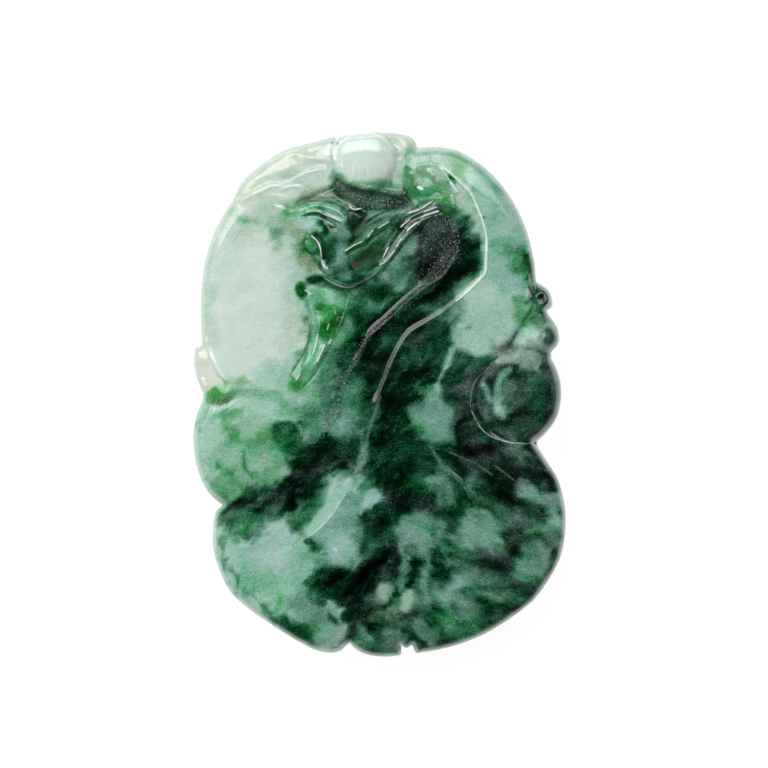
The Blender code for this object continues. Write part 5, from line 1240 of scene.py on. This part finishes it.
def jade_colour(x, y, z, edge_gap):
    """Colour of the skin.  The stains mix as absorptions (logarithms of the light), so pale
    runs into dark through clear greens.  Noise shifts and frays their edges along the fibres,
    and the whole is mottled by fibres and small grains.  The thin edge is painted pale, a
    painted reflection and glow of the white surroundings.  The fine lines come last: painted
    shade in the creases and painted highlights on the crests."""
    wx = x + WARP * cloud(x, y, z, 2.6, 11, 4)
    wy = y + WARP * cloud(x, y, z, 2.6, 21, 4)
    turn = UPPER_SLANT + (LOWER_SLANT - UPPER_SLANT) * lower_right(x, y)
    streak = STREAKING * fibrous(wx, wy, z, 3.5, 0.75, 31, 2)
    streak_x, streak_y = streak * np.cos(turn), streak * np.sin(turn)
    grain = fibrous(wx, wy, z, 1.5, 1.1, 51, 4)
    mottle = fibrous(wx, wy, z, 2.0, 1.5, 61, 5)
    flecks = fibrous(wx, wy, z, 1.6, 0.7, 91)
    wx, wy = wx + streak_x, wy + streak_y
    tone = np.repeat(absorption(GROUND_MASS)[None, :], len(x), axis=0)
    for name, width, strength, *points in STAINS:
        path = np.array(points)
        at = near_box(path, 1.7 * width + 1.4, wx, wy)
        gap, _, _ = nearest(path, wx[at], wy[at])
        soft = 0.35 + min(0.42 * width, 1.4)
        level = (gap - width) / soft - 0.1 + STAIN_GRAIN * grain[at]
        cover(tone, at, strength * ease(1.0, -1.0, level), name)
    for name, soft, strength, *points in PATCHES:
        area = flowing(points, closed=True)
        at = near_box(area, 1.0, x, y)
        frayed = min(max((soft - 0.3) / 0.3, 0.0), 1.0)
        inside = signed_gap(area, x[at] + frayed * streak_x[at], y[at] + frayed * streak_y[at])
        cover(tone, at, strength * ease(-soft, soft, inside + PATCH_GRAIN * grain[at]), name)
    dark = ease(1.6, 2.8, -tone[:, 1]) * (z > RIM_HEIGHT)
    cover(tone, slice(None), FLECK_SHARE * dark * ease(-0.1, 1.3, flecks), "forest")
    depth = 0.18 + 0.36 * ease(0.4, 2.4, -tone[:, 1])
    tone *= np.exp(depth * mottle)[:, None]
    tilt = cloud(x, y, z, 1.3, 71, 3)
    tone *= np.exp(WARM_SHIFT * tilt[:, None] * np.array([1.0, 0.0, BLUE_SHARE]))
    # painted reflection and glow: the thin edge is made pale, as the white surroundings reflect in it
    # and shine through it
    cover(tone, slice(None), RIM_GLARE_SHARE * ease(0.95, 0.15, edge_gap), "rim")
    colour = np.exp(tone)
    # painted shade along the creases, painted highlights along the crests
    for lines, share in ((CREASES_AND_SHADE, CREASE_SHADE_COVER), (CRESTS_AND_HIGHLIGHTS, CREST_HIGHLIGHT_COVER)):
        for name, width, strength, *points in lines:
            path = flowing(points)
            at = near_box(path, 1.0, x, y)
            at = at[z[at] > RIM_HEIGHT]
            gap, _, along = nearest(path, x[at], y[at])
            ragged = gap + RAGGED * cloud(x[at], y[at], z[at], 0.4, 81, 2)
            broken = 0.8 + 0.2 * ease(-0.8, 0.5, cloud(x[at], y[at], z[at], 1.0, 82, 2))
            taper = 0.4 + 0.6 * np.sqrt(np.clip(8.0 * along * (1.0 - along), 0.0, 1.0))
            line = ease(1.15, 0.45, ragged / (0.8 * width * taper))
            mask = share * strength * broken * line
            colour[at] += mask[:, None] * (linear(PALETTE[name]) - colour[at])
    return colour


# ---- the grid of the stone ----------------------------------------------------------------------
EDGE_SPACING = 0.36         # spacing of points along the outline
FRONT_RINGS = 84            # rings of faces from the rim to the middle of the front
BACK_RINGS = 12             # the same on the back
FINE_REACHES = (0.36, 0.14) # faces this near a fine line are split once, then once more
SPINE = 16.0                # half length of the line that the inner rings close on
SPINE_EASE = 1.3            # how gently the rows close up towards the ends of that line
RIM_CROWDING = 0.35         # how much closer the rings stand at the rim than inside
SOFTENING = 312             # averaging passes that give the inner rings their smooth outline
CORNER_REACH = 14.0         # how soon the rings lose the corners of the outline, going inwards


def evenly(points, count):
    """A closed outline as count points at even steps along it, starting from its first point."""
    loop = np.vstack([points, points[:1]])
    along = np.concatenate([[0.0], np.cumsum(np.hypot(*np.diff(loop, axis=0).T))])
    places = np.arange(count) / count * along[-1]
    return np.stack([np.interp(places, along, loop[:, 0]), np.interp(places, along, loop[:, 1])],
                    axis=1)


def softened(edge, passes):
    """The outline with its corners averaged away: each pass mixes a point with its neighbours."""
    soft = edge.copy()
    for _ in range(passes):
        soft = 0.5 * soft + 0.25 * (np.roll(soft, 1, axis=0) + np.roll(soft, -1, axis=0))
    return soft


def face_grid(edge, rings):
    """Places over one face: row r joins the outline's r-th point on the right with the one on
    the left, through the spine; columns close up towards the rim.  Returns x, y, both
    (rows, 2 rings + 1)."""
    half = len(edge) // 2
    row = np.arange(half + 1)[:, None]
    across = np.linspace(-1.0, 1.0, 2 * rings + 1)[None, :]
    inward = 1.0 - np.abs(across)
    out = 1.0 - inward * (1.0 - RIM_CROWDING * (1.0 - inward) ** 4)
    soft = softened(edge, SOFTENING)
    right, left = row % len(edge), -row % len(edge)
    column = np.where(across < 0.0, left, right)
    rim = soft[column] + (out ** CORNER_REACH)[..., None] * (edge[column] - soft[column])
    spine_y = SPINE * np.tanh(0.5 * (soft[right, 1] + soft[left, 1])
                              / (SPINE_EASE * SPINE))
    return out * rim[..., 0], out * rim[..., 1] + (1.0 - out) * spine_y


def near_fine_lines(x, y, reach):
    """True where a crest or a crease passes within reach."""
    close = np.zeros(x.shape, dtype=bool)
    for _, _, _, *points in CREASES_AND_SHADE + CRESTS_AND_HIGHLIGHTS:
        path = flowing(points)
        at = near_box(path, reach, x, y)
        close[at] |= nearest(path, x[at], y[at])[0] < reach
    return close


def split_faces(places, faces, chosen):
    """Cuts each chosen four-sided face into four, and gives its neighbours the new corners on
    the shared edges, so that the skin stays closed.  Returns places, the four-sided faces, and
    the neighbours that now have more corners."""
    count = len(places)
    ends = np.stack([faces, np.roll(faces, -1, axis=1)], axis=2)
    keys = ends.min(axis=2) * count + ends.max(axis=2)
    unique, edge_of = np.unique(keys, return_inverse=True)
    edge_of = edge_of.reshape(faces.shape)
    parted = np.zeros(len(unique), dtype=bool)
    parted[edge_of[chosen].ravel()] = True
    middle_id = np.where(parted, count + np.cumsum(parted) - 1, -1)
    lower, upper = unique[parted] // count, unique[parted] % count
    middles = 0.5 * (places[lower] + places[upper])
    centres = places[faces[chosen]].mean(axis=1)
    centre_id = count + len(middles) + np.arange(len(centres))
    mid = middle_id[edge_of]
    corner, side = faces[chosen], mid[chosen]
    parts = [np.stack([corner[:, k], side[:, k], centre_id, side[:, k - 1]], axis=1)
             for k in range(4)]
    rest = np.stack([faces, mid], axis=2).reshape(len(faces), 8)[~chosen]
    plain = (rest[:, 1::2] < 0).all(axis=1)
    joined = [row[row >= 0].tolist() for row in rest[~plain]]
    whole = np.concatenate(parts + [rest[plain][:, ::2]])
    return np.concatenate([places, middles, centres]), whole, joined


def stone_skin():
    """Points with their masks, and the faces, of the closed skin of the stone, in mm."""
    edge = outline_points(0.05)
    count = 2 * int(round(np.hypot(*(edge - np.roll(edge, 1, axis=0)).T).sum() / EDGE_SPACING / 2))
    edge = evenly(np.roll(edge, -int(np.argmin(edge[:, 1])), axis=0), count)
    half = count // 2
    places, index = [], []
    for rings in (FRONT_RINGS, BACK_RINGS):
        x, y = face_grid(edge, rings)
        on_rim = np.zeros(x.shape)
        on_rim[:, [0, -1]] = 1.0
        on_front = np.full(x.size, float(rings == FRONT_RINGS))
        ids = np.arange(x.size).reshape(x.shape)
        ids[0, :rings] = ids[0, :rings:-1]
        ids[half, :rings] = ids[half, :rings:-1]
        places.append(np.stack([x.ravel(), y.ravel(), on_rim.ravel(), on_front], axis=1))
        index.append(ids)
    front_ids, back_ids = index
    back_ids = back_ids + len(places[0])
    back_ids[:, 0], back_ids[:, -1] = front_ids[:, 0], front_ids[:, -1]
    faces = []
    for ids, turned in ((front_ids, False), (back_ids, True)):
        quads = np.stack([ids[:-1, :-1], ids[:-1, 1:], ids[1:, 1:], ids[1:, :-1]],
                         axis=-1).reshape(-1, 4)
        faces.append(quads[:, ::-1] if turned else quads)
    used, faces = np.unique(np.concatenate(faces), return_inverse=True)
    places, faces = np.concatenate(places)[used], faces.reshape(-1, 4)
    others = []
    for reach in FINE_REACHES:
        middle = places[faces].mean(axis=1)
        fine = (middle[:, 3] == 1.0) & (places[faces][:, :, 2].max(axis=1) == 0.0)
        fine[fine] = near_fine_lines(middle[fine, 0], middle[fine, 1], reach)
        kept = np.zeros(len(places), dtype=bool)
        kept[[corner for face in others for corner in face]] = True
        fine &= ~kept[faces].any(axis=1)
        places, faces, joined = split_faces(places, faces, fine)
        others += joined
    faces = faces.tolist() + others
    x, y, on_rim, on_front = places.T
    gap = np.abs(signed_gap(outline_points(0.3), x, y))
    gap[on_rim == 1.0] = 0.0
    carved = front(x, y, gap)
    z = np.where(on_front == 1.0, carved.height, back_height(gap))
    z[on_rim == 1.0] = RIM_HEIGHT
    return np.stack([x, y, z, gap, on_front * carved.rough, on_front * carved.hollow],
                    axis=1), faces


def paint(mesh, name, values):
    """Stores columns of values as a colour attribute of the mesh, filled up with ones."""
    rows = np.ones((len(values), 4), dtype=np.float32)
    rows[:, :values.shape[1]] = values
    column = mesh.color_attributes.new(name, "FLOAT_COLOR", "POINT")
    column.data.foreach_set("color", rows.ravel())


def stone_piece():
    """The stone as one mesh, scaled from its own outline to the box of the solid."""
    skin, faces = stone_skin()
    low, high = (np.array(corner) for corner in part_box("palm_stone"))
    own_low, own_high = skin[:, :2].min(axis=0), skin[:, :2].max(axis=0)
    places = skin[:, :3].copy()
    places[:, :2] -= 0.5 * (own_low + own_high)
    places[:, :2] *= (high - low)[:2] / (own_high - own_low) / MM
    mesh = bpy.data.meshes.new("carved_stone")
    mesh.from_pydata((places * MM).tolist(), [], faces)
    mesh.shade_smooth()
    # the colour carries the stone's stains together with painted highlights, painted shade and painted
    # reflections
    paint(mesh, "jade tint with painted light", jade_colour(*skin[:, :4].T))
    paint(mesh, "carving marks", skin[:, 4:6])
    stone = bpy.data.objects.new("carved_stone", mesh)
    bpy.context.scene.collection.objects.link(stone)
    return stone


# ---- materials ----------------------------------------------------------------------------------
class Socket:
    """A shader value that can be written into Python expressions; each operator adds a node."""

    def __init__(self, tree, output):
        self.tree, self.output = tree, output

    def node(self, kind, settings=None, inputs=None, output=0):
        """Adds a node of a type, makes its settings, then gives its sockets values or links."""
        made = self.tree.nodes.new(kind)
        for name, value in (settings or {}).items():
            setattr(made, name, value)
        for name, value in (inputs or {}).items():
            if isinstance(value, Socket):
                self.tree.links.new(value.output, made.inputs[name])
            else:
                made.inputs[name].default_value = value
        return Socket(self.tree, made.outputs[output])

    def parts(self):
        """All the outputs of the node that this value comes from."""
        return [Socket(self.tree, output) for output in self.output.node.outputs]

    def maths(self, operation, *values):
        """A maths node on numbers or sockets."""
        return self.node("ShaderNodeMath", {"operation": operation}, dict(enumerate(values)))

    def __add__(self, other):
        return self.maths("ADD", self, other)

    def __sub__(self, other):
        return self.maths("SUBTRACT", self, other)

    def __rsub__(self, other):
        return self.maths("SUBTRACT", other, self)

    def __mul__(self, other):
        return self.maths("MULTIPLY", self, other)

    __radd__ = __add__
    __rmul__ = __mul__

    def span(self, low, high):
        """0 below low, 1 above high, smooth between."""
        return self.node("ShaderNodeMapRange", {"interpolation_type": "SMOOTHSTEP"},
                         {"Value": self, "From Min": low, "From Max": high})

    def mix(self, other, share):
        """This colour mixed with another one."""
        return self.node("ShaderNodeMix", {"data_type": "RGBA"}, {0: share, 6: self, 7: other},
                         output=2)


def noise(place, scale, detail=2.0, roughness=0.55, distortion=0.0):
    """Noise of 0 to 1 with scale features per metre."""
    return place.node("ShaderNodeTexNoise", {}, {"Vector": place, "Scale": scale,
                                                 "Detail": detail, "Roughness": roughness,
                                                 "Distortion": distortion})


def new_material(name, values):
    """A material with constants on its shader's own sockets."""
    material = bpy.data.materials.new(name)
    material.use_nodes = True
    shader = material.node_tree.nodes["Principled BSDF"]
    for socket, value in values.items():
        shader.inputs[socket].default_value = value
    return material, shader


FIBRE_SCALE = 1100.0    # scales of the fine noises, in features per metre
PIT_SCALE = 2600.0
GRAIN_SCALE = 4500.0
SPARK_SCALE = 6400.0
DOT_SCALE = 9000.0
# colour and strength of the painted glints on the rough ground
SPARK_COLOUR = (172, 190, 175)
SPARK_STRENGTH = 0.85


def jade():
    """Polished jadeite: the painted colours of the skin, the stone's stains with painted highlights,
    shade and reflections among them, broken up by fine fibres and grains; glossy on the polished
    parts, dull where the ground was left rough, with the sparkle of its pits painted into the
    colour as pale specks."""
    material, shader = new_material("jadeite", {
        "IOR": 1.3, "Coat IOR": 1.85, "Coat Roughness": 0.05, "Subsurface Weight": 0.25,
        "Subsurface Radius": (0.85, 0.9, 0.85), "Subsurface Scale": 0.0006})
    tree = material.node_tree
    place = Socket(tree, tree.nodes.new("ShaderNodeTexCoord").outputs["Object"])
    tint = place.node("ShaderNodeAttribute", {"attribute_name": "jade tint with painted light"})
    marks = place.node("ShaderNodeAttribute", {"attribute_name": "carving marks"})
    rough, hollow, _ = place.node("ShaderNodeSeparateColor", {}, {"Color": marks}).parts()
    along = place.node("ShaderNodeMapping", {}, {"Vector": place, "Scale": (1.0, 2.2, 1.0),
                                                 "Rotation": (0.0, 0.0, UPPER_SLANT)})
    fibres = noise(along, FIBRE_SCALE, 6.0, 0.7, 0.8)
    grain = noise(place, GRAIN_SCALE)
    dots = noise(place, DOT_SCALE, 1.0)
    density = -0.3 + fibres * 0.95 + grain * 0.85 + dots * 0.8
    fine = tint.node("ShaderNodeGamma", {}, {"Color": tint, "Gamma": density})
    # painted glints: pale specks in the colour of the rough ground stand for the sparkle of its pits
    speck = noise(place, SPARK_SCALE, 1.0)
    sparks = (speck - 0.1 * (1.0 - rough)).span(0.58, 0.65) * rough.span(0.02, 0.2)
    painted_sparkle = fine.mix((*linear(SPARK_COLOUR), 1.0), sparks * SPARK_STRENGTH)
    gloss_loss = rough * 0.1 + hollow * 0.2 + grain.span(0.3, 0.7) * 0.05 + 0.10
    polish = (1.0 - rough) * (1.0 - hollow * 0.9)
    pitted = noise(place, PIT_SCALE, 3.0, 0.7) * rough
    bump = place.node("ShaderNodeBump", {}, {"Strength": 0.55, "Distance": 0.5 * MM,
                                             "Height": pitted})
    bump = place.node("ShaderNodeBump", {}, {"Strength": 0.04, "Distance": 0.3 * MM,
                                             "Height": fibres, "Normal": bump})
    for socket, value in (("Base Color", painted_sparkle), ("Roughness", gloss_loss), ("Normal", bump),
                          ("Coat Weight", polish)):
        tree.links.new(value.output, shader.inputs[socket])
    return material


def floor_finish():
    """A plain pale sweep with a faint glow of its own, as a lit white table has."""
    material, _ = new_material("pale floor", {
        "Base Color": (0.14, 0.14, 0.14, 1.0), "Roughness": 0.9, "Specular IOR Level": 0.1,
        "Emission Color": (1.0, 1.0, 1.0, 1.0), "Emission Strength": 0.94})
    return material


# ---- studio -------------------------------------------------------------------------------------
FLOOR_REACH = 4.0           # from the middle of the floor to its edges, in metres
FLOOR_GAP = 0.05 * MM       # how far the floor lies under the stone
KEY_GLOW = 2.0              # brightness of the pair of soft boxes beyond the top of the stone
LEFT_GLOW = 0.3             # of the smaller box at the left
WALL_GLOW = 0.2             # of the band of wall above the floor
OVERHEAD_GLOW = 0.005       # of everything else
LENS = 300.0                # focal length of the camera and width of its film, in mm
FILM = 36.0
VIEW_WIDTH = 96.0 * MM      # width of what the camera sees at the height of the rim
VIEW_SHIFT = (0.56 * MM, 1.31 * MM)     # how far the view lies right of and above the middle


def lay_floor():
    """One flat square under the stone."""
    mesh = bpy.data.meshes.new("floor")
    side = FLOOR_REACH
    mesh.from_pydata([(-side, -side, 0.0), (side, -side, 0.0), (side, side, 0.0),
                      (-side, side, 0.0)], [], [(0, 1, 2, 3)])
    mesh.materials.append(floor_finish())
    floor = bpy.data.objects.new("floor", mesh)
    bpy.context.scene.collection.objects.link(floor)
    floor.location.z = CAD_BOX[0][2] - FLOOR_GAP


def soft_light(name, tilt, azimuth, distance, size, power):
    """A rectangular soft light: tilt degrees down from overhead, towards azimuth degrees
    (0 is +Y, 90 is +X), facing the stone."""
    tilt, azimuth = np.radians(tilt), np.radians(azimuth)
    place = distance * np.array([np.sin(tilt) * np.sin(azimuth), np.sin(tilt) * np.cos(azimuth),
                                 np.cos(tilt)])
    light = bpy.data.lights.new(name, "AREA")
    light.shape = "RECTANGLE"
    light.size, light.size_y = size
    light.energy = power
    lamp = bpy.data.objects.new(name, light)
    bpy.context.scene.collection.objects.link(lamp)
    lamp.location = place
    lamp.rotation_mode = "QUATERNION"
    lamp.rotation_quaternion = (-Vector(place)).to_track_quat("-Z", "Y")
    lamp.visible_camera = False
    return lamp


def room():
    """The studio round the stone as one dome of light: dark overhead, a pair of wide soft
    boxes side by side beyond the top of the stone, a smaller one at the left, and a pale band
    of wall just above the floor."""
    world = bpy.data.worlds.new("studio")
    bpy.context.scene.world = world
    world.use_nodes = True
    tree = world.node_tree
    way = Socket(tree, tree.nodes.new("ShaderNodeTexCoord").outputs["Generated"])
    x, y, z = way.node("ShaderNodeSeparateXYZ", {}, {"Vector": way}).parts()
    lean = way.maths("ARCTAN2", y, z)
    aside = way.maths("ABSOLUTE", x)
    sides = (1.0 - x.span(0.35, 0.6)) * (1.0 - (-1.0 * x).span(0.6, 0.85))
    boxes = lean.span(0.29, 0.36) * (1.0 - lean.span(0.88, 1.0)) * sides
    boxes = boxes * (1.0 - 0.6 * (1.0 - aside.span(0.015, 0.04)))
    left_lean = way.maths("ARCTAN2", -1.0 * x, z)
    left = left_lean.span(0.75, 0.85) * (1.0 - left_lean.span(1.1, 1.25))
    left = left * (1.0 - way.maths("ABSOLUTE", y).span(0.3, 0.65))
    wall = 1.0 - z.span(0.10, 0.55)
    glow = boxes * KEY_GLOW + left * LEFT_GLOW + wall * WALL_GLOW + OVERHEAD_GLOW
    background = tree.nodes["Background"]
    tree.links.new(glow.output, background.inputs["Strength"])
    background.inputs["Color"].default_value = (1.0, 1.0, 1.0, 1.0)


def set_camera():
    """A long lens straight above, framed on the stone with a little more room above it."""
    data = bpy.data.cameras.new("camera")
    data.lens = LENS
    data.sensor_width = FILM
    camera = bpy.data.objects.new("camera", data)
    bpy.context.scene.collection.objects.link(camera)
    low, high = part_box("palm_stone")
    middle = (Vector(low) + Vector(high)) / 2
    camera.location = (middle.x + VIEW_SHIFT[0], middle.y + VIEW_SHIFT[1],
                       RIM_HEIGHT * MM + VIEW_WIDTH * LENS / FILM)
    data.clip_end = 20.0
    bpy.context.scene.camera = camera


set_camera()
lay_floor()
room()
fill = soft_light("overhead fill", tilt=20.0, azimuth=-60.0, distance=1.4, size=(1.2, 1.2),
                  power=14.0)
fill.visible_glossy = False
bpy.context.scene.view_settings.view_transform = "Standard"

stone = stone_piece()
stone.data.materials.append(jade())
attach(stone, "root")
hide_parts("palm_stone")
